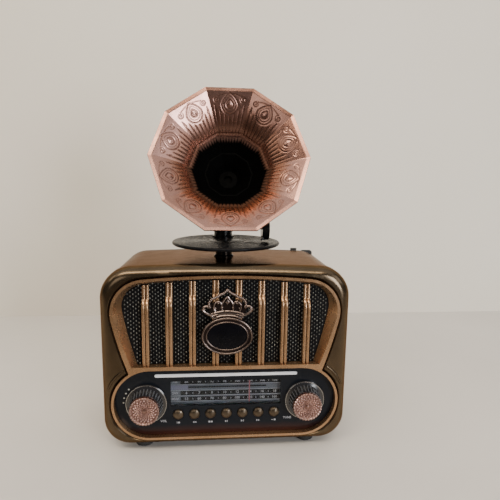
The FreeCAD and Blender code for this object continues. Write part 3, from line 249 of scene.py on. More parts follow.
def panel_black():
    """Glossy black face, with a painted warm reflection along its lower edge."""
    paint = Paint("panel_black", Roughness=0.16, Specular_IOR_Level=0.2)
    waver = paint.math("MULTIPLY", paint.noise(60.0, 4.0), 0.004)
    # painted reflection: warmer and browner towards the bottom
    low = paint.remap(paint.math("ADD", paint.axis("Z"), waver), 0.014, 0.024, 1.0, 0.0)
    paint.feed("Base Color", paint.mix(low, rgb(0.006, 0.008, 0.012), rgb(0.05, 0.016, 0.009)))
    paint.bump(1800.0, 0.02)
    return paint.material


def mesh_black():
    """Black lacquered metal, with painted glints that lighten the knots of the mesh."""
    paint = Paint("mesh_black", Roughness=0.42, Specular_IOR_Level=0.12)
    patch = paint.remap(paint.noise(900.0, 2.0), 0.35, 0.65)
    # painted highlight: the knots get a lighter, metallic colour that stands in for glints
    painted_light = paint.math("MULTIPLY", paint.attribute("painted_light"), patch)
    paint.feed("Base Color", paint.mix(painted_light, rgb(0.006, 0.006, 0.007), rgb(0.30, 0.31, 0.29)))
    paint.feed("Metallic", paint.math("MULTIPLY", painted_light, 0.8))
    paint.bump(2500.0, 0.3)
    return paint.material


def knob_copper():
    """Pink copper plate, dark in the hollows of the pressed pattern."""
    paint = Paint("knob_copper", Metallic=1.0)
    copper = paint.mix(paint.cloud(300.0, 3.0), rgb(0.34, 0.21, 0.175), rgb(0.54, 0.375, 0.335))
    paint.feed("Base Color", paint.mix(paint.attribute("hollow"), copper, rgb(0.14, 0.055, 0.04)))
    paint.uneven_gloss(paint.noise(500.0, 4.0), 0.22, 0.36)
    paint.bump(2200.0, 0.08)
    return paint.material


def clear_window():
    """Clear moulded plastic with a cool tint."""
    paint = Paint("clear_window", Roughness=0.04, IOR=1.2, Transmission_Weight=1.0)
    paint.feed("Base Color", paint.mix(paint.cloud(40.0, 3.0), rgb(0.86, 0.9, 0.93), rgb(0.94, 0.96, 0.98)))
    paint.bump(300.0, 0.01, detail=3.0)
    return paint.material


def make_materials():
    special_ones = (horn_copper, panel_black, mesh_black, knob_copper, clear_window)
    made = {make.__name__: make() for make in special_ones}
    for slot, (dark, light, roughness, metallic, special) in METALS.items():
        made[slot] = metal_paint(slot, dark, light, roughness, metallic, **special)
    for slot, (dark, light, roughness, special) in PLASTICS.items():
        made[slot] = plastic_paint(slot, dark, light, roughness, **special)
    return made


def dress_nodes():
    """Gives every CAD node its slot's material."""
    for part in frame["record"]["subparts"]:
        node = frame["nodes"][part["node"]]
        node.data.materials.clear()
        node.data.materials.append(materials[part["material_slot"]])


def circle_angles(count):
    """Evenly spaced angles round a circle."""
    return [2 * math.pi * index / count for index in range(count)]


def new_mesh(name, points, faces, attributes=None):
    """Mesh with a number for each of its points under every attribute's name."""
    mesh = bpy.data.meshes.new(name)
    mesh.from_pydata(points, [], faces)
    for key, values in (attributes or {}).items():
        mesh.attributes.new(key, "FLOAT", "POINT").data.foreach_set("value", values)
    return mesh


def add_object(name, data):
    made = bpy.data.objects.new(name, data)
    bpy.context.scene.collection.objects.link(made)
    return made


class Pile:
    """Gathers closed shells into one mesh piece."""

    def __init__(self):
        self.points = []
        self.faces = []

    def add(self, points, faces):
        start = len(self.points)
        self.points.extend(tuple(point) for point in points)
        self.faces.extend([start + index for index in face] for face in faces)

    def rings(self, loops, closed_path=False):
        """Skins equal loops of points in order, capping both ends unless the path is closed."""
        count = len(loops[0])
        steps = len(loops) if closed_path else len(loops) - 1
        faces = []
        for row in range(steps):
            here, there = row * count, (row + 1) % len(loops) * count
            for i in range(count):
                after = (i + 1) % count
                faces.append((here + i, here + after, there + after, there + i))
        if not closed_path:
            last = (len(loops) - 1) * count
            faces.append(tuple(reversed(range(count))))
            faces.append(tuple(range(last, last + count)))
        self.add([point for loop in loops for point in loop], faces)

    def tube(self, path, radius, sides=8, closed_path=False):
        """Round wire along a path that lies in an upright plane."""
        path = [Vector(point) for point in path]
        loops = []
        for i, centre in enumerate(path):
            before = path[i - 1] if i or closed_path else centre
            after = path[(i + 1) % len(path)] if i + 1 < len(path) or closed_path else centre
            along = (after - before).normalized()
            side = along.cross(Vector((0, 1, 0))).normalized()
            out = side.cross(along)
            loops.append([centre + (side * math.cos(turn) + out * math.sin(turn)) * radius
                          for turn in circle_angles(sides)])
        self.rings(loops, closed_path)

    def bar(self, ends, radius, sides=6):
        """Straight round bar between two points."""
        start, end = Vector(ends[0]), Vector(ends[1])
        turn = (end - start).to_track_quat("Z", "X")
        ring = [turn @ Vector((math.cos(angle), math.sin(angle), 0.0)) * radius
                for angle in circle_angles(sides)]
        self.rings([[point + offset for offset in ring] for point in (start, end)])

    def ball(self, centre, radius, sides=10, rows=6):
        """Small ball whose poles, along Y, are cut flat."""
        centre = Vector(centre)
        loops = []
        for row in range(rows + 1):
            angle = math.pi * (0.04 + 0.92 * row / rows)
            wide, tall = radius * math.sin(angle), radius * math.cos(angle)
            loops.append([centre + Vector((wide * math.cos(turn), -tall, wide * math.sin(turn)))
                          for turn in circle_angles(sides)])
        self.rings(loops)

    def prism(self, outline, front, back):
        """Plate with this (x, z) outline in millimetres between two depths."""
        self.rings([upright(outline, front), upright(outline, back)])

    def piece(self, name, slot, body, replaced=(), attributes=None, smooth=35.0):
        mesh = new_mesh(name, self.points, self.faces, attributes)
        dress_mesh(mesh, name, slot, body, replaced, smooth)


def dress_mesh(mesh, name, slot, body, replaced, smooth):
    """Turns a mesh into a shown piece with its slot, body and the nodes that it stands for."""
    shape = bmesh.new()
    shape.from_mesh(mesh)
    bmesh.ops.recalc_face_normals(shape, faces=shape.faces)
    for face in shape.faces:
        face.smooth = smooth > 0
    for edge in shape.edges:
        edge.smooth = len(edge.link_faces) != 2 or edge.calc_face_angle(0.0) < math.radians(smooth)
    shape.to_mesh(mesh)
    shape.free()
    made = add_object(name, mesh)
    mesh.materials.append(materials[slot])
    if replaced:
        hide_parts(*replaced)
    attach(made, body)


def upright(outline, millimetres):
    """Points of an (x, z) outline, this far behind the bezel's front plane."""
    y = depth(millimetres)
    return [(x * MM, y, z * MM) for x, z in outline]


def middle_of(node):
    """X and Z of the middle of a CAD node."""
    low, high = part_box(node)
    return (low.x + high.x) / 2, (low.z + high.z) / 2


def rectangle(x0, x1, z0, z1):
    return [(x0, z0), (x1, z0), (x1, z1), (x0, z1)]


def on_side(side, points):
    """The right side's (x, z) points, or their mirror image where side is -1."""
    return [(side * x, z) for x, z in points]


def ellipse(centre, half, y, count=128):
    """Points round an upright ellipse."""
    return [(centre[0] + half[0] * math.cos(turn), y, centre[1] + half[1] * math.sin(turn))
            for turn in circle_angles(count)]


def spline(p, q, r, s, t):
    """Catmull-Rom value between q and r, at t from 0 to 1."""
    return 0.5 * (2 * q + (r - p) * t + (2 * p - 5 * q + 4 * r - s) * t * t
                  + (3 * q - p - 3 * r + s) * t ** 3)


def curve_through(points, per_span):
    """Smooth open curve through (x, z) points."""
    ends = [points[0]] + list(points) + [points[-1]]
    made = []
    for knots in zip(ends, ends[1:], ends[2:], ends[3:]):
        for step in range(per_span):
            made.append(tuple(spline(*values, step / per_span) for values in zip(*knots)))
    return made + [tuple(points[-1])]


# ---- horn bell ----
HORN_TILT = math.radians(22.96)  # the mouth looks this far up
PETALS = 10
HALF_PETAL = math.pi / PETALS
RIM_FLAT = 67.7  # middle of the mouth's outer edge to the axis
RIM_LIP = 0.3  # the flat edge's inner line is this much nearer the axis
RIM_ROWS = 5
# distance behind the mouth, and distance from the axis to the middle of a petal: inner side, outer side
BELL_INSIDE = ((0.8, 64.2), (5.0, 57.0), (10.0, 49.5), (15.0, 43.2), (19.0, 38.8), (23.0, 35.4),
               (28.0, 31.8), (34.0, 27.2), (40.0, 21.8))
BELL_OUTSIDE = ((40.0, 23.0), (34.0, 28.4), (28.0, 33.0), (23.0, 36.6), (19.0, 40.0), (15.0, 44.4),
                (10.0, 50.7), (5.0, 58.2), (2.2, 63.4), (1.7, 65.6), (1.6, 67.2), (1.3, 67.7), (0.4, 67.7))
PETAL_COLUMNS = 84
BELL_ROWS = 140
# heights of the pressed surface
ENGRAVED_DEEP = 0.24
BOSS_HIGH = 0.3
STEP_HIGH = 0.2
STEP_FOOT = 0.1
SEAM_POWER = 30  # the relief dies out only close to a petal's seams
# places along a petal, from the rim
PLAIN_RIM = (3.3, 3.9)
MEDALLION_AT = 14.5  # middle of the petal's medallion
STEP_AT = 43.0
# medallion: radius, depth and width of each ring, and the margin that stays free of rays
MEDALLION_RINGS = ((7.6, 1.0, 0.55), (5.5, 0.7, 0.35), (3.1, 1.0, 0.5))
MEDALLION_MARGIN = (8.0, 9.4)
BOSS_WIDE = 1.4
RAY_SHARES = (-0.8, -0.54, -0.27, 0.0, 0.27, 0.54, 0.8)  # of a petal's half width
RAY_START = 23.0
RAY_START_RISE = 9.0  # a ray at the seam would start this much nearer the rim
RAY_WIDE = 0.5
# scroll beside the medallion, on each side: place across and along, and pitch of its turns
SCROLL_AT = (12.4, 10.4)
SCROLL_PITCH = 1.9
SCROLL_EDGE = (2.6, 3.3)
SCROLL_WIDE = 0.4
TENDRIL_DEEP = 0.8
VINE_AT = (5.2, 8.4)  # place along, in the petal's middle and at VINE_REACH
VINE_REACH = 12.0
VINE_WIDE = 0.35
VINE_ENDS = ((2.0, 3.0), (11.0, VINE_REACH))
LEAF_AT = (13.2, 17.0)
LEAF_LEAN = 0.35
LEAF_WIDE = 0.4
LEAF_ENDS = ((14.5, 15.5), (20.0, 22.0))


def groove(distance, width):
    return np.exp(-(distance / width) ** 2)


def ramp(value, low, high):
    t = np.clip((value - low) / (high - low), 0.0, 1.0)
    return t * t * (3 - 2 * t)


def window(value, ends):
    """Rises from 0 to 1 over the first pair of ends, and falls back over the second."""
    return ramp(value, *ends[0]) * (1 - ramp(value, *ends[1]))


def medallion_distance(across, along):
    """Distance from the medallion's middle: pointed towards the rim, round towards the throat."""
    below = along - MEDALLION_AT
    power = np.where(below < 0, 1.35, 2.0)
    reach = np.where(below < 0, 0.78, 0.88)
    return (np.abs(across) ** power + (reach * np.abs(below)) ** power) ** (1 / power)


def ray_lines(across, along, half_width):
    """Lines that fan out from the throat and stop at the medallion's margin."""
    lines = np.zeros_like(across)
    for share in RAY_SHARES:
        start = RAY_START - RAY_START_RISE * abs(share)
        reached = ramp(along, start, start + 4.0) * (1 - 0.7 * groove(along - STEP_AT, 2.0))
        lines += groove(across - share * half_width, RAY_WIDE) * reached
    return lines


def scroll_lines(outward, along):
    """Scroll, vine and leaf on the side of the medallion where outward is positive."""
    over, down = outward - SCROLL_AT[0], along - SCROLL_AT[1]
    far = np.hypot(over, down)
    coil = (far / SCROLL_PITCH - np.arctan2(down, over) / (2 * math.pi)) % 1.0
    coil = np.minimum(coil, 1 - coil) * SCROLL_PITCH
    scroll = groove(coil, SCROLL_WIDE) * (1 - ramp(far, *SCROLL_EDGE))
    vine_at = VINE_AT[0] + (VINE_AT[1] - VINE_AT[0]) * (outward / VINE_REACH) ** 2
    vine = groove(along - vine_at, VINE_WIDE) * window(outward, VINE_ENDS)
    leaf_at = LEAF_AT[0] - LEAF_LEAN * (along - LEAF_AT[1])
    leaf = groove(outward - leaf_at, LEAF_WIDE) * window(along, LEAF_ENDS)
    return scroll + TENDRIL_DEEP * (vine + leaf)


def petal_engraving(across, along, half_width):
    """Depth of the engraved lines and height of the boss, 0 to 1, at places across and along a petal."""
    ring = medallion_distance(across, along)
    lines = ray_lines(across, along, half_width) * ramp(ring, *MEDALLION_MARGIN)
    for radius, deep, wide in MEDALLION_RINGS:
        lines += deep * groove(ring - radius, wide)
    for outward in (-across, across):
        lines += scroll_lines(outward, along)
    return np.clip(lines, 0.0, 1.0), groove(ring, BOSS_WIDE)


def bell_rows():
    """Inner profile as (behind, flat, along) rows, evenly spaced, with the rim's flat edge first."""
    fine = np.array(curve_through(BELL_INSIDE, 60))
    lengths = np.concatenate(([0.0], np.cumsum(np.hypot(*np.diff(fine, axis=0).T))))
    places = np.linspace(0.0, lengths[-1], BELL_ROWS)
    rim = np.linspace((0.0, RIM_FLAT - RIM_LIP), BELL_INSIDE[0], RIM_ROWS + 1)[:-1]
    behind = np.concatenate((rim[:, 0], np.interp(places, lengths, fine[:, 0])))
    flat = np.concatenate((rim[:, 1], np.interp(places, lengths, fine[:, 1])))
    along = np.concatenate(([0.0], np.cumsum(np.hypot(np.diff(behind), np.diff(flat)))))
    return behind[:, None], flat[:, None], along[:, None]


def bell_columns():
    """Each column's direction round the axis, and its place across its petal, 1 to -1."""
    column = np.arange(PETALS * PETAL_COLUMNS)
    direction = math.pi / 2 - 2 * HALF_PETAL * (column // PETAL_COLUMNS)
    share = 1 - 2 * (column % PETAL_COLUMNS) / PETAL_COLUMNS
    return direction[None, :], share[None, :]


def bell_relief(share, along, engraved, boss):
    """Height of the pressed surface over the smooth petal."""
    step = STEP_HIGH * groove(along - STEP_AT, 1.2) - STEP_FOOT * groove(along - STEP_AT + 2.2, 0.6)
    height = step + BOSS_HIGH * boss - ENGRAVED_DEEP * engraved
    return height * (1 - np.abs(share) ** SEAM_POWER) * ramp(along, *PLAIN_RIM)


def bell_shades(direction, along, engraved):
    """Shares, 0 to 1, for the horn's material: the engraving's colour, painted shade towards the throat and
    a painted warm reflection.
    """
    upwards = np.sin(direction)
    # painted shade: the throat's black starts deeper on the upper petals, which light reaches further in,
    # and sooner along the engraving
    throat_shade_start = 36.0 + 5.5 * upwards - 3.0 * engraved
    return {"engraved": engraved * ramp(along, *PLAIN_RIM),
            # painted shade: darker deeper in the bell, less so on the step band
            "painted_depth_shade": 0.65 * ramp(along, 16.0, 34.0) * (1 - 0.5 * groove(along - STEP_AT, 2.5)),
            # painted reflection: a warm tint on the lower petals
            "painted_warm_reflection": ramp(along, 15.0, 29.0) * (0.5 - 0.5 * upwards),
            # painted shade: blacks out the deep throat
            "painted_throat_shade": ramp(along, throat_shade_start, throat_shade_start + 10.0)}


def bell_points(direction, behind, flat, across):
    """Scene points from millimetres behind the mouth, out from the axis and across a petal."""
    low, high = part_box("horn_bell")
    cos_tilt, sin_tilt = math.cos(HORN_TILT), math.sin(HORN_TILT)
    centre = np.array(((low.x + high.x) / 2, low.y + RIM_FLAT * MM * sin_tilt,
                       high.z - RIM_FLAT * MM * cos_tilt))
    inward = np.array((0.0, cos_tilt, -sin_tilt))
    upward = np.array((0.0, sin_tilt, cos_tilt))
    sideways = np.array((1.0, 0.0, 0.0))
    cos, sin = np.cos(direction)[:, :, None], np.sin(direction)[:, :, None]
    behind, flat, across = (grid[:, :, None] * MM for grid in (behind, flat, across))
    radial = sideways * cos + upward * sin
    tangent = upward * cos - sideways * sin
    return centre + inward * behind + radial * flat + tangent * across


def grid_faces(rows, columns):
    """Faces of a grid of points that closes on itself both ways."""
    grid = np.arange(rows * columns).reshape(rows, columns)
    below, right = np.roll(grid, -1, axis=0), np.roll(grid, -1, axis=1)
    return np.stack((grid, right, np.roll(right, -1, axis=0), below), axis=-1).reshape(-1, 4)


def make_horn_bell():
    """Ten pressed petals with their engraving, as one closed shell."""
    direction, share = bell_columns()
    behind, flat, along = bell_rows()
    half_width = flat * math.tan(HALF_PETAL)
    across = half_width * share
    engraved, boss = petal_engraving(across, along, half_width)
    relief = bell_relief(share, along, engraved, boss)
    slope_behind, slope_flat = np.gradient(behind, axis=0), np.gradient(flat, axis=0)
    length = np.hypot(slope_behind, slope_flat)

    outer = np.array(BELL_OUTSIDE)
    whole = np.ones_like(share)
    outer_behind, outer_flat = outer[:, 0:1] * whole, outer[:, 1:2] * whole
    points = bell_points(direction,
                         np.concatenate((behind + relief * slope_flat / length, outer_behind)),
                         np.concatenate((flat - relief * slope_behind / length, outer_flat)),
                         np.concatenate((across, outer_flat * math.tan(HALF_PETAL) * share)))
    shades = {key: np.concatenate((values * whole, np.zeros_like(outer_flat))).astype(np.float32).ravel()
              for key, values in bell_shades(direction, along, engraved).items()}
    faces = grid_faces(*points.shape[:2])
    mesh = new_mesh("horn_petals", points.reshape(-1, 3).tolist(), faces.tolist(), shades)
    dress_mesh(mesh, "horn_petals", "horn_copper", "horn", ["horn_bell"], 60.0)


# ---- grille ----
GRILLE_FOOT = (72.2, 74.7)  # half width at the foot, and the foot's height
GRILLE_SHOULDER = (65.5, 122.9, 18.0)  # centre x and z, and radius
GRILLE_TOP = 144.9
GRILLE_ARCH = 570.0
# speaker mesh
MESH_PITCH = (4.4, 3.4)
MESH_SPAN = (86.0, 72.0)  # half width and height that the rows of knots may reach
MESH_FOOT = 0.6
MESH_FRONT = 7.75
KNOT_HALF = (0.55, 0.85)
KNOT_FACE = 0.6  # size of a knot's raised face against its foot
KNOT_SCATTER = 0.12
STRAND_HALF = 0.34
# bars
BAR_COUNT = 8
BAR_PITCH = 18.55
BAR_HALF = 2.7
BAR_FRONT = 1.8
BAR_BACK = 7.5
BAR_DIPS = (1.0, 1.2)  # depth of a bar's edges and of its middle groove
BAR_SHORT = 0.5  # bars end this far below the grille's arch
RIDGE_AT = 1.45  # from a bar's middle line
RIDGE_HALF = (1.2, 0.62)
RIDGE_REACH = 80  # degrees of arc to each side of a ridge's crest
ROLL_START = 19.5  # below a bar's top end
ROLL_RADIUS = 10.0
ROLL_BEND = 48
HOLLOW_RADIUS = 2.0
TAIL_LEAN = 4


def grille_arch(x):
    return GRILLE_TOP - x * x / (2 * GRILLE_ARCH)


def in_grille(x, z):
    """Whether a point lies in the grille's opening."""
    x = abs(x)
    foot_x, foot_z = GRILLE_FOOT
    centre_x, centre_z, radius = GRILLE_SHOULDER
    if z < centre_z:
        rise = (z - foot_z) / (centre_z - foot_z)
        return z > foot_z and x < foot_x + (centre_x + radius - foot_x) * rise
    if x < centre_x:
        return z < grille_arch(x)
    return math.hypot(x - centre_x, z - centre_z) < radius


def mesh_knots(step_x, step_z):
    """Staggered places of the knots inside the opening."""
    across, up = int(MESH_SPAN[0] / step_x), int(MESH_SPAN[1] / step_z)
    places = [(column * step_x, GRILLE_FOOT[1] + MESH_FOOT + row * step_z) for row in range(up + 1)
              for column in range(-across, across + 1) if (row + column) % 2 == 0]
    return [place for place in places if in_grille(*place)]


def strand(pile, start, end):
    """One flat strand, turned so that its upper edge stands forward."""
    section = ((-1, 0, 0.38), (0, 1, -0.1), (1, 0, 0.38), (0, -1, 0.44))
    pile.rings([[((x + over * STRAND_HALF) * MM, depth(MESH_FRONT + level), (z + rise * STRAND_HALF) * MM)
                 for over, rise, level in section] for x, z in (start, end)])


def knot(pile, x, z):
    """Low six-sided knot with a blunt point."""
    points = []
    for size, level in ((1.0, 0.1), (KNOT_FACE, -0.3)):
        points += [((x + size * KNOT_HALF[0] * math.cos(turn)) * MM, depth(MESH_FRONT + level),
                    (z + size * KNOT_HALF[1] * math.sin(turn)) * MM) for turn in circle_angles(6)]
    points.append((x * MM, depth(MESH_FRONT - 0.42), (z + 0.15) * MM))
    faces = [(i, (i + 1) % 6, 6 + (i + 1) % 6, 6 + i) for i in range(6)]
    faces += [(6 + i, 6 + (i + 1) % 6, 12) for i in range(6)]
    faces.append(tuple(reversed(range(6))))
    pile.add(points, faces)


def make_speaker_mesh():
    """Slanted strands that meet in staggered knots, in front of the punched plate."""
    pile = Pile()
    step_x, step_z = MESH_PITCH[0] / 2, MESH_PITCH[1] / 2
    places = mesh_knots(step_x, step_z)
    for x, z in places:
        for side in (-1, 1):
            end = (x + side * step_x, z + step_z)
            if in_grille(*end):
                strand(pile, (x, z), end)
    # painted highlight: knot points are marked 1 for the material's painted glint, strand points 0
    painted_light = [0.0] * len(pile.points)
    for x, z in places:
        x += random.uniform(-KNOT_SCATTER, KNOT_SCATTER)
        z += random.uniform(-KNOT_SCATTER, KNOT_SCATTER)
        knot(pile, x, z)
    painted_light += [1.0] * (len(pile.points) - len(painted_light))
    pile.piece("speaker_strands", "mesh_black", "root", attributes={"painted_light": painted_light}, smooth=50.0)


def bar_path(top):
    """(z, front) down the face of a bar: straight, rolled back near the top, then a slim tail."""
    bend, lean = math.radians(ROLL_BEND), math.radians(TAIL_LEAN)
    roll_z = top - ROLL_START
    path = [(GRILLE_FOOT[1] - 0.05, BAR_FRONT)]
    path += [(roll_z + ROLL_RADIUS * math.sin(turn), BAR_FRONT + ROLL_RADIUS * (1 - math.cos(turn)))
             for turn in np.linspace(0.0, bend, 9).tolist()]
    z, front = path[-1]
    path += [(z + HOLLOW_RADIUS * (math.sin(bend) - math.sin(turn)),
              front + HOLLOW_RADIUS * (math.cos(turn) - math.cos(bend)))
             for turn in np.linspace(bend, lean, 6).tolist()[1:]]
    z, front = path[-1]
    path.append((top, front + (top - z) * math.tan(lean)))
    return path


def bar_section():
    """(across, dip) over the face of a bar: two rounded ridges beside a groove."""
    edge, middle = BAR_DIPS
    arc = [math.radians(angle) for angle in range(-RIDGE_REACH, RIDGE_REACH + 1, 20)]
    left, right = ([(side * RIDGE_AT + RIDGE_HALF[0] * math.sin(turn), RIDGE_HALF[1] * (1 - math.cos(turn)))
                    for turn in arc] for side in (-1, 1))
    return [(-BAR_HALF, edge)] + left + [(0.0, middle)] + right + [(BAR_HALF, edge)]


def make_bars():
    """Row of curled bars."""
    pile = Pile()
    section = bar_section()
    for index in range(BAR_COUNT):
        x = (index - (BAR_COUNT - 1) / 2) * BAR_PITCH
        loops = []
        for z, front in bar_path(grille_arch(x) - BAR_SHORT):
            loop = [((x + over) * MM, depth(front + dip), z * MM) for over, dip in section]
            loop += [((x + over) * MM, depth(BAR_BACK), z * MM) for over in (BAR_HALF, -BAR_HALF)]
            loops.append(loop)
        pile.rings(loops)
    pile.piece("grille_ribs", "antique_gold", "root", ["grille_bars"], smooth=50.0)


# ---- badge ----
BADGE_Z = 100.2
OVAL_SQUASH = 4.95  # the ring is this much less tall than wide, to each side
OVAL_BEADS = ((16.6, 0.55, 12), (19.7, 0.8, 14))  # half width, thickness and sides
OVAL_BEAD_LEVEL = -0.55
OVAL_BAND = ((16.0, 1.4), (16.2, -0.2), (20.1, -0.2), (20.4, 1.4))  # half width and level
# coronet, all (x, z): each band has a height, half width and thickness, and sags to its ends
CORONET_BANDS = ((117.2, 11.4, 1.05), (119.0, 12.0, 0.8), (120.8, 12.6, 1.05))
BAND_SAG = 2.3
SIDE_CURL = ((11.6, 115.3), (12.2, 117.0), (15.4, 118.6), (18.4, 120.7), (19.5, 122.8), (17.8, 124.6),
             (15.6, 124.8), (14.0, 124.0))
BEADED_ARCH = ((14.0, 124.2), (14.6, 127.6), (12.2, 130.9), (8.6, 132.3), (5.8, 134.2), (2.8, 135.7),
               (0.0, 138.2))
INNER_WIRES = (((4.2, 121.6), (4.6, 125.6), (2.6, 129.6), (0.0, 132.6)),
               ((9.6, 120.6), (10.8, 124.0), (9.8, 127.4), (6.6, 128.6), (4.8, 126.8)))
WIRE_LEVEL = 0.1
CURL_THICK = 1.1
ARCH_THICK = 0.95
INNER_THICK = 0.85
ARCH_BEAD = (-0.35, 1.25)  # level and radius
TOP_STONE = (-0.3, 1.15)
STONE_LEVEL = -0.2
CORONET_STONES = ((4.1, 123.8, 0.95), (9.4, 123.2, 0.9), (7.3, 127.4, 1.0), (18.6, 122.4, 1.15))
GEM_Z = 128.4
GEM_HALF = (1.9, 2.2)
GEM_LEVELS = ((-0.9, 0.45), (-0.3, 1.0), (0.6, 0.9))  # level and size against the widest
# right half of the dark plate behind the coronet, and its crest
CORONET_PLATE = ((11.2, 115.2), (12.4, 118.0), (14.6, 120.2), (13.9, 124.5), (11.6, 127.6), (8.4, 125.4),
                 (5.6, 128.6), (2.6, 130.8))
CORONET_CREST = (0.0, 133.4)
PLATE_LEVELS = (0.7, 1.7)


def badge_oval(half_width, level):
    """Points round the badge's oval at this half width."""
    return ellipse((0.0, BADGE_Z * MM), (half_width * MM, (half_width - OVAL_SQUASH) * MM), depth(level))


def make_oval_ring():
    """Two rolled beads joined by a sunken band."""
    beads, band = Pile(), Pile()
    for over, bead, sides in OVAL_BEADS:
        beads.rings([badge_oval(over - bead * math.cos(turn), OVAL_BEAD_LEVEL - bead * math.sin(turn))
                     for turn in circle_angles(sides)], closed_path=True)
    band.rings([badge_oval(over, level) for over, level in OVAL_BAND], closed_path=True)
    beads.piece("oval_beads", "badge_silver", "root", ["oval_ring"], smooth=60.0)
    band.piece("oval_band", "badge_dark", "root", smooth=30.0)


def coronet_wire(pile, points, radius):
    pile.tube(upright(curve_through(points, 6), WIRE_LEVEL), radius * MM)


def coronet_ball(pile, x, z, level, radius):
    pile.ball((x * MM, depth(level), z * MM), radius * MM)


def coronet_side(pile, side):
    """Curl, beaded arch, inner wires and stones of one side."""
    arch = on_side(side, BEADED_ARCH)
    coronet_wire(pile, on_side(side, SIDE_CURL), CURL_THICK)
    coronet_wire(pile, arch, ARCH_THICK)
    for x, z in curve_through(arch, 3)[:-1]:
        coronet_ball(pile, x, z, *ARCH_BEAD)
    for points in INNER_WIRES:
        coronet_wire(pile, on_side(side, points), INNER_THICK)
    for x, z, radius in CORONET_STONES:
        coronet_ball(pile, side * x, z, STONE_LEVEL, radius)


def coronet_gem(pile):
    """Cut diamond in the middle."""
    wide, tall = GEM_HALF
    outline = ((0.0, tall), (wide, 0.0), (0.0, -tall), (-wide, 0.0))
    pile.rings([upright([(x * size, GEM_Z + rise * size) for x, rise in outline], level)
                for level, size in GEM_LEVELS])


def make_coronet():
    """Plain wirework coronet in front of a dark plate."""
    pile = Pile()
    for height, half, radius in CORONET_BANDS:
        band = [(half * t, height - BAND_SAG * t * t) for t in (-1.0, -0.5, 0.0, 0.5, 1.0)]
        coronet_wire(pile, band, radius)
    for side in (-1, 1):
        coronet_side(pile, side)
    coronet_ball(pile, *BEADED_ARCH[-1], *TOP_STONE)
    coronet_gem(pile)
    pile.piece("coronet", "badge_silver", "root", ["crown_emblem"], smooth=45.0)

    plate = Pile()
    plate.prism([*CORONET_PLATE, CORONET_CREST, *on_side(-1, reversed(CORONET_PLATE))], *PLATE_LEVELS)
    plate.piece("coronet_back", "badge_dark", "root", smooth=30.0)


# ---- dial ----
PRINT_THICK = 0.05
LETTER_SIZE = 1.35  # font size that makes capitals one unit high
LETTER_BOLD = 0.04
PRINT_DEPTH = 9.9  # front of the dial's print, and the plane that it lies on
PRINT_GROUND = 10.02
OVERPRINT = 0.04  # figures stand this much before their band
DIAL_LEFT = -46.4
DIAL_RIGHT = 45.6
# height, band height, name and figures of each row
DIAL_ROWS = ((57.2, 4.2, "FM", (88, 90, 92, 96, 100, 104, 106, 108)),
             (47.2, 3.9, "SW", (6, 7, 8, 10, 12, 14, 16, 18)),
             (42.0, 3.6, "MW", (53, 60, 70, 80, 100, 120, 140, 160)))
DIAL_LINES = (59.6, 54.7, 49.5, 44.8, 39.9)
LINE_HALF = 0.14
POINTER_TRACK = (-31.9, 33.6, 51.7, 53.0)  # left, right, bottom and top
DIAL_BLOCK = (-46.4, -32.2, 50.2, 54.2)
BAND_START = 8.0  # from the dial's left end, like the next two
BAND_NAME_AT = 3.6
FIRST_FIGURE = 13.0
FIGURE_PITCH = 10.6
BAND_NAME_HIGH = 2.5
FIGURE_HIGH = 2.3
TICK = (-5.5, -5.1, 0.7)  # left and right edge beside a figure, and half height
# panel signs
PANEL_DEPTH = 5.0
BUTTON_PITCH = 13.32
SIGN_Z = 23.6
SIGN_HIGH = 0.85
KNOB_NAMES = (("VOL", -52.0), ("TUNE", 51.4))
KNOB_NAME_Z = 25.2
KNOB_NAME_HIGH = 2.0


def add_text(pile, words, height, x, z, front):
    """Raised print centred on x and z, in millimetres."""
    font = bpy.data.curves.new("print", "FONT")
    font.body = words
    font.size = height * LETTER_SIZE
    font.align_x = "CENTER"
    font.align_y = "CENTER"
    font.resolution_u = 2
    font.offset = LETTER_BOLD
    maker = add_object("print", font)
    mesh = bpy.data.meshes.new_from_object(maker.evaluated_get(bpy.context.evaluated_depsgraph_get()))
    flat = bmesh.new()
    flat.from_mesh(mesh)
    bmesh.ops.remove_doubles(flat, verts=flat.verts, dist=0.0001)
    bmesh.ops.solidify(flat, geom=flat.faces[:], thickness=PRINT_THICK)
    points = [((x + v.co.x) * MM, depth(front - v.co.z), (z + v.co.y) * MM) for v in flat.verts]
    flat.verts.index_update()
    pile.add(points, [[v.index for v in face.verts] for face in flat.faces])
    flat.free()
    bpy.data.objects.remove(maker)
    bpy.data.curves.remove(font)
    bpy.data.meshes.remove(mesh)


def dial_patch(pile, x0, x1, z0, z1, front=PRINT_DEPTH):
    pile.prism(rectangle(x0, x1, z0, z1), front, PRINT_GROUND)


def dial_row(dark, light, z, tall, band, figures):
    """One frequency band with its name, figures and the ticks between them."""
    front = PRINT_DEPTH - OVERPRINT
    left, right, half = TICK
    dial_patch(dark, DIAL_LEFT + BAND_START, DIAL_RIGHT, z - tall / 2, z + tall / 2)
    add_text(light, band, BAND_NAME_HIGH, DIAL_LEFT + BAND_NAME_AT, z, PRINT_DEPTH)
    for index, figure in enumerate(figures):
        x = DIAL_LEFT + FIRST_FIGURE + index * FIGURE_PITCH
        add_text(light, str(figure), FIGURE_HIGH, x, z, front)
        if index:
            dial_patch(light, x + left, x + right, z - half, z + half, front)


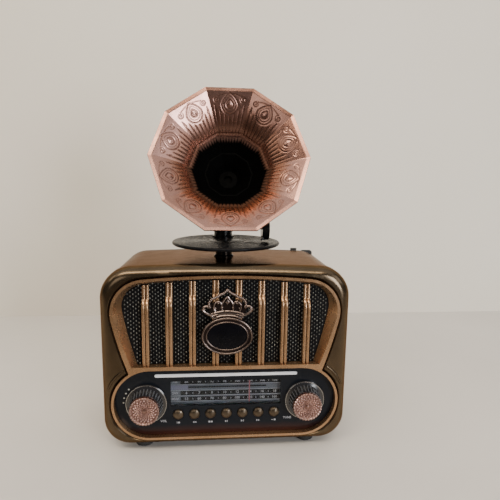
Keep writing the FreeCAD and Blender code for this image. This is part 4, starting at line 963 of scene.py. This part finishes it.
def make_dial_print():
    """Dark frequency bands, their light figures, the frame lines and the pointer's track."""
    dark, light, block = Pile(), Pile(), Pile()
    for row in DIAL_ROWS:
        dial_row(dark, light, *row)
    for z in DIAL_LINES:
        dial_patch(light, DIAL_LEFT, DIAL_RIGHT, z - LINE_HALF, z + LINE_HALF)
    dial_patch(dark, *POINTER_TRACK)
    dial_patch(block, *DIAL_BLOCK)
    dark.piece("dial_bands", "panel_black", "root", smooth=0.0)
    light.piece("dial_figures", "scale_marks", "root", smooth=0.0)
    block.piece("dial_block", "scale_lilac", "root", smooth=0.0)


def panel_signs():
    """For each button, the outlines of its sign and their shifts from its middle."""
    arrow_right = [(-0.7, -SIGN_HIGH), (0.7, 0.0), (-0.7, SIGN_HIGH)]
    arrow_left = [(0.7, -SIGN_HIGH), (0.7, SIGN_HIGH), (-0.7, 0.0)]
    stroke = rectangle(-0.2, 0.2, -SIGN_HIGH, SIGN_HIGH)
    dot = rectangle(-0.7, 0.7, -0.7, 0.7)
    wave = rectangle(-0.9, 0.9, -0.22, 0.22)
    return (((stroke, -1.1), (dot, 0.5)), ((arrow_left, -0.8), (arrow_left, 0.8)), ((dot, -1.0), (dot, 1.0)),
            ((arrow_right, -0.5), (stroke, 0.7)), ((arrow_right, -0.4), (stroke, 0.9)),
            ((arrow_right, -0.8), (arrow_right, 0.8)), ((wave, -1.2), (dot, 0.9)))


def make_panel_print():
    """Small signs below the buttons and beside the knobs."""
    pile = Pile()
    signs = panel_signs()
    for index, sign in enumerate(signs):
        centre = (index - (len(signs) - 1) / 2) * BUTTON_PITCH
        for outline, shift in sign:
            placed = [(centre + shift + over, SIGN_Z + rise) for over, rise in outline]
            pile.prism(placed, PANEL_DEPTH - OVERPRINT, PANEL_DEPTH + 0.02)
    for name, x in KNOB_NAMES:
        add_text(pile, name, KNOB_NAME_HIGH, x, KNOB_NAME_Z, PANEL_DEPTH - 0.02)
    pile.piece("panel_signs", "scale_marks", "root", smooth=0.0)


# ---- knobs ----
CAP_RADIUS = 12.2
CAP_HUB = 0.25  # radius of the small flat in the middle
CAP_FRONT = -9.4
CAP_BACK = (1.9, 3.36)  # levels of the cap's rear edge and back
CAP_COLUMNS = 360
CAP_SCALLOPS = 30
WEAVE_ARMS = 10
WEAVE_TWIST = 9.0
FIELD_ENDS = ((1.9, 2.6), (9.9, 10.3))  # the pattern fades in and out over these radii
# bright ring on each knob's skirt: a painted highlight
RING_RADIUS = 16.2
RING_THICK = 0.3
RING_DEPTH = 2.7
RIDGE_ENDS = ((12.2, -5.4), (13.5, 1.9))  # radius and depth of a grip ridge's two ends
RIDGE_THICK = 0.42


def cap_face(far, around):
    """Radius and level of the cap's face: woven field, centre boss and scalloped rim."""
    twist = WEAVE_TWIST * np.log(far / CAP_RADIUS + 0.12)
    weave = np.abs(np.sin(WEAVE_ARMS * around + twist)) * np.abs(np.sin(WEAVE_ARMS * around - twist))
    boss = groove(far, 1.7)
    valley = 0.5 - 0.5 * np.cos(CAP_SCALLOPS * around)
    rim = ramp(far, 10.0, 10.6)
    level = 0.95 - 0.7 * weave ** 0.7 * window(far, FIELD_ENDS) - 0.55 * boss
    level = level * (1 - rim) + rim * (0.15 + 0.35 * valley + 1.1 * ramp(far, 11.5, CAP_RADIUS) ** 2)
    return far - 0.35 * valley * ramp(far, 11.0, CAP_RADIUS), np.maximum(level, 0.02)


def make_knob_cap(name, node, body):
    """Pressed cap: a diamond pattern that winds out of a centre boss, inside a scalloped rim."""
    x, z = middle_of(node)
    turn = 2 * np.pi * np.arange(CAP_COLUMNS) / CAP_COLUMNS
    radius = np.concatenate((np.linspace(CAP_HUB, 10.2, 56), np.linspace(10.4, CAP_RADIUS, 12)))
    far, level = cap_face(*np.meshgrid(radius, turn, indexing="ij"))
    hollow = np.concatenate((np.clip((level - 0.25) / 0.7, 0, 1).ravel(), np.zeros(3 * CAP_COLUMNS)))
    edge, whole = far[-1:], np.ones_like(far[-1:])
    far = np.concatenate((far, edge, edge, CAP_HUB * whole))
    level = np.concatenate((level, CAP_BACK[0] * whole, CAP_BACK[1] * whole, CAP_BACK[1] * whole))
    pile = Pile()
    pile.rings([[(x + distance * MM * math.cos(t), depth(CAP_FRONT + back), z + distance * MM * math.sin(t))
                 for distance, back, t in zip(distances, levels, turn.tolist())]
                for distances, levels in zip(far.tolist(), level.tolist())])
    pile.piece(name, "knob_copper", body, [node], attributes={"hollow": hollow.tolist()}, smooth=60.0)


def make_knob_ring(name, node, body):
    """Bright line round a knob's skirt, a painted highlight on the skirt's edge."""
    pile = Pile()
    path = ellipse(middle_of(node), (RING_RADIUS * MM, RING_RADIUS * MM), depth(RING_DEPTH), 96)
    pile.tube(path, RING_THICK * MM, sides=6, closed_path=True)
    pile.piece(name, "socket_nickel", body, smooth=60.0)


def make_knob_ridges(name, node, body):
    """Fine ridges down the side of a knob's grip, between its flutes, in a grey that paints their
    highlights.
    """
    x, z = middle_of(node)
    pile = Pile()
    for turn in circle_angles(CAP_SCALLOPS):
        pile.bar([(x + far * MM * math.cos(turn), depth(back), z + far * MM * math.sin(turn))
                  for far, back in RIDGE_ENDS], RIDGE_THICK * MM)
    pile.piece(name, "knob_highlight_grey", body, smooth=60.0)


# ---- record ----
RECORD_SIDES = 160
RECORD_HUB = 0.4  # radius of the small flat in the middle
LABEL_EDGE = ((16.0, 0.0), (16.4, -0.35), (17.2, -0.35), (17.6, 0.0))  # radius and drop
GROOVES_START = 18.4
GROOVES_MARGIN = 3.0  # plain edge outside the last groove
GROOVE_PITCH = 0.8
GROOVE_DEEP = 0.14
TRACK_PITCH = 9.0  # a plain gap this often, and as wide as the next
TRACK_GAP = 1.0


def record_profile(radius, thick):
    """(radius, drop) from the middle of the top, over the rounded edge, to the middle of the underside."""
    profile = [(RECORD_HUB, 0.0), *LABEL_EDGE]
    place = GROOVES_START
    while place < radius - GROOVES_MARGIN:
        in_gap = (place - GROOVES_START) % TRACK_PITCH < TRACK_GAP
        profile += [(place, 0.0), (place + GROOVE_PITCH / 2, 0.0 if in_gap else -GROOVE_DEEP)]
        place += GROOVE_PITCH
    profile += [(radius - 1.9, 0.0), (radius - 0.8, -0.18), (radius - 0.2, -0.8), (radius, -1.5)]
    profile += [(radius - 0.3, 0.7 - thick), (radius - 1.4, -thick), (RECORD_HUB, -thick)]
    return profile


def make_record():
    """Thick black disc with bands of fine grooves."""
    low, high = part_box("record_disc")
    x, y = (low.x + high.x) / 2, (low.y + high.y) / 2
    pile = Pile()
    pile.rings([[(x + far * MM * math.cos(turn), y + far * MM * math.sin(turn), high.z + drop * MM)
                 for turn in circle_angles(RECORD_SIDES)]
                for far, drop in record_profile((high.x - low.x) / 2 / MM, (high.z - low.z) / MM)])
    pile.piece("record", "record_black", "root", ["record_disc"], smooth=50.0)


# ---- camera, light and stage, in metres ----
CAMERA_LENS = 30.78
CAMERA_PLACE = (-0.01127, depth(-327.8), 0.2220)
CAMERA_YAW = 0.0865  # to the right, like the next two in radians
CAMERA_PITCH = 0.1568  # down
CAMERA_ROLL = 0.0157
OBJECT_MIDDLE = (0.0, 0.0, 0.16)
# place, what it points at, size, power and colour
LAMPS = {
    "ceiling": ((-0.2, -0.75, 1.15), OBJECT_MIDDLE, (1.5, 0.3), 13.0, (1.0, 0.86, 0.68)),
    "window": ((0.85, -1.25, 0.35), OBJECT_MIDDLE, (0.42, 0.7), 13.0, (0.93, 0.96, 1.0)),
    "side_window": ((1.25, -0.6, 0.75), OBJECT_MIDDLE, (0.7, 0.6), 2.2, (0.95, 0.97, 1.0)),
    "left_lamp": ((-1.1, -0.2, 0.8), OBJECT_MIDDLE, (0.4, 0.4), 1.2, (1.0, 0.9, 0.76)),
    "fill": ((-0.8, -1.2, 0.5), OBJECT_MIDDLE, (0.6, 0.5), 1.6, (1.0, 0.93, 0.85)),
    "overhead": ((0.0, -0.54, 1.9), (0.0, -0.54, 0.0), (4.0, 1.72), 18.0, (1.0, 0.97, 0.93)),
}
ROOM_COLOUR = rgb(0.80, 0.77, 0.72)
ROOM_STRENGTH = 0.13
STAGE_REACH = 3.0
WALL_Y = 0.32
FLAG_LIFT = 0.001  # a dark card that only reflections see, just above the floor
FLAG_EDGE = -0.085
FLAG_FADE = (-0.10, -0.42)


def make_camera():
    data = bpy.data.cameras.new("camera")
    data.lens = CAMERA_LENS
    data.clip_start = 0.01
    camera = add_object("camera", data)
    forward = Vector((math.sin(CAMERA_YAW) * math.cos(CAMERA_PITCH),
                      math.cos(CAMERA_YAW) * math.cos(CAMERA_PITCH), -math.sin(CAMERA_PITCH)))
    side = Vector((math.cos(CAMERA_YAW), -math.sin(CAMERA_YAW), 0.0))
    above = side.cross(forward)
    right = side * math.cos(CAMERA_ROLL) + above * math.sin(CAMERA_ROLL)
    up = above * math.cos(CAMERA_ROLL) - side * math.sin(CAMERA_ROLL)
    turn = Matrix((right, up, -forward)).transposed().to_4x4()
    camera.matrix_world = Matrix.Translation(CAMERA_PLACE) @ turn
    bpy.context.scene.camera = camera


def area_light(name, place, aim, size, power, colour):
    data = bpy.data.lights.new(name, "AREA")
    data.shape = "RECTANGLE"
    data.size, data.size_y = size
    data.energy = power
    data.color = colour
    turn = (Vector(aim) - Vector(place)).to_track_quat("-Z", "Y").to_matrix().to_4x4()
    add_object(name, data).matrix_world = Matrix.Translation(place) @ turn


def make_light():
    for name, settings in LAMPS.items():
        area_light(name, *settings)
    world = bpy.data.worlds.new("room")
    world.use_nodes = True
    background = world.node_tree.nodes["Background"]
    background.inputs["Color"].default_value = ROOM_COLOUR
    background.inputs["Strength"].default_value = ROOM_STRENGTH
    bpy.context.scene.world = world


def stage_paint(name, dark, light, scale):
    """Matt, faintly clouded surface."""
    paint = Paint(name, Roughness=0.6)
    paint.feed("Base Color", paint.mix(paint.cloud(scale, 6.0), dark, light))
    paint.bump(scale * 40.0, 0.05, detail=4.0, distance=0.0005)
    return paint


def table_paint():
    """Pale table top."""
    return stage_paint("table", rgb(0.70, 0.67, 0.63), rgb(0.76, 0.73, 0.69), 3.0).material


def wall_paint():
    """Warm white wall that shows only from its front, so that a view from behind isn't blocked."""
    paint = stage_paint("wall", rgb(0.82, 0.77, 0.68), rgb(0.86, 0.82, 0.74), 2.0)
    clear = paint.node("ShaderNodeBsdfTransparent").outputs[0]
    behind = paint.node("ShaderNodeNewGeometry").outputs["Backfacing"]
    mix = paint.node("ShaderNodeMixShader", {0: behind, 1: paint.surface.outputs[0], 2: clear})
    paint.put(paint.tree.nodes["Material Output"].inputs["Surface"], mix.outputs[0])
    return paint.material


def flag_paint():
    """Matt card, pale towards the object and dark away from it."""
    paint = Paint("flag", Roughness=0.8)
    shade = paint.remap(paint.axis("Y"), *FLAG_FADE)
    paint.feed("Base Color", paint.mix(shade, rgb(0.60, 0.56, 0.51), rgb(0.06, 0.045, 0.035)))
    return paint.material


def stage_plane(name, near, far, material):
    """Plane as wide as the stage, from a near (y, z) edge to a far one."""
    left, right = -STAGE_REACH, STAGE_REACH
    corners = [(left, *near), (right, *near), (right, *far), (left, *far)]
    mesh = new_mesh(name, corners, [(0, 1, 2, 3)])
    mesh.materials.append(material)
    plane = add_object(name, mesh)
    return plane


def make_stage():
    stage_plane("floor", (-STAGE_REACH, 0.0), (STAGE_REACH, 0.0), table_paint())
    stage_plane("wall", (WALL_Y, 0.0), (WALL_Y, STAGE_REACH), wall_paint())
    card = stage_plane("flag", (-STAGE_REACH, FLAG_LIFT), (FLAG_EDGE, FLAG_LIFT), flag_paint())
    card.visible_camera = False
    card.visible_diffuse = False
    card.visible_transmission = False
    card.visible_shadow = False


# ---- run ----
make_camera()
make_light()
make_stage()
random.seed(7)
materials = make_materials()
dress_nodes()
make_horn_bell()
make_speaker_mesh()
make_bars()
make_oval_ring()
make_coronet()
make_dial_print()
make_panel_print()
for side in ("volume", "tuning"):
    make_knob_cap(side + "_cap_pressed", side + "_cap", side + "_knob")
    make_knob_ring(side + "_ring", side + "_grip", side + "_knob")
    make_knob_ridges(side + "_ridges", side + "_grip", side + "_knob")
make_record()
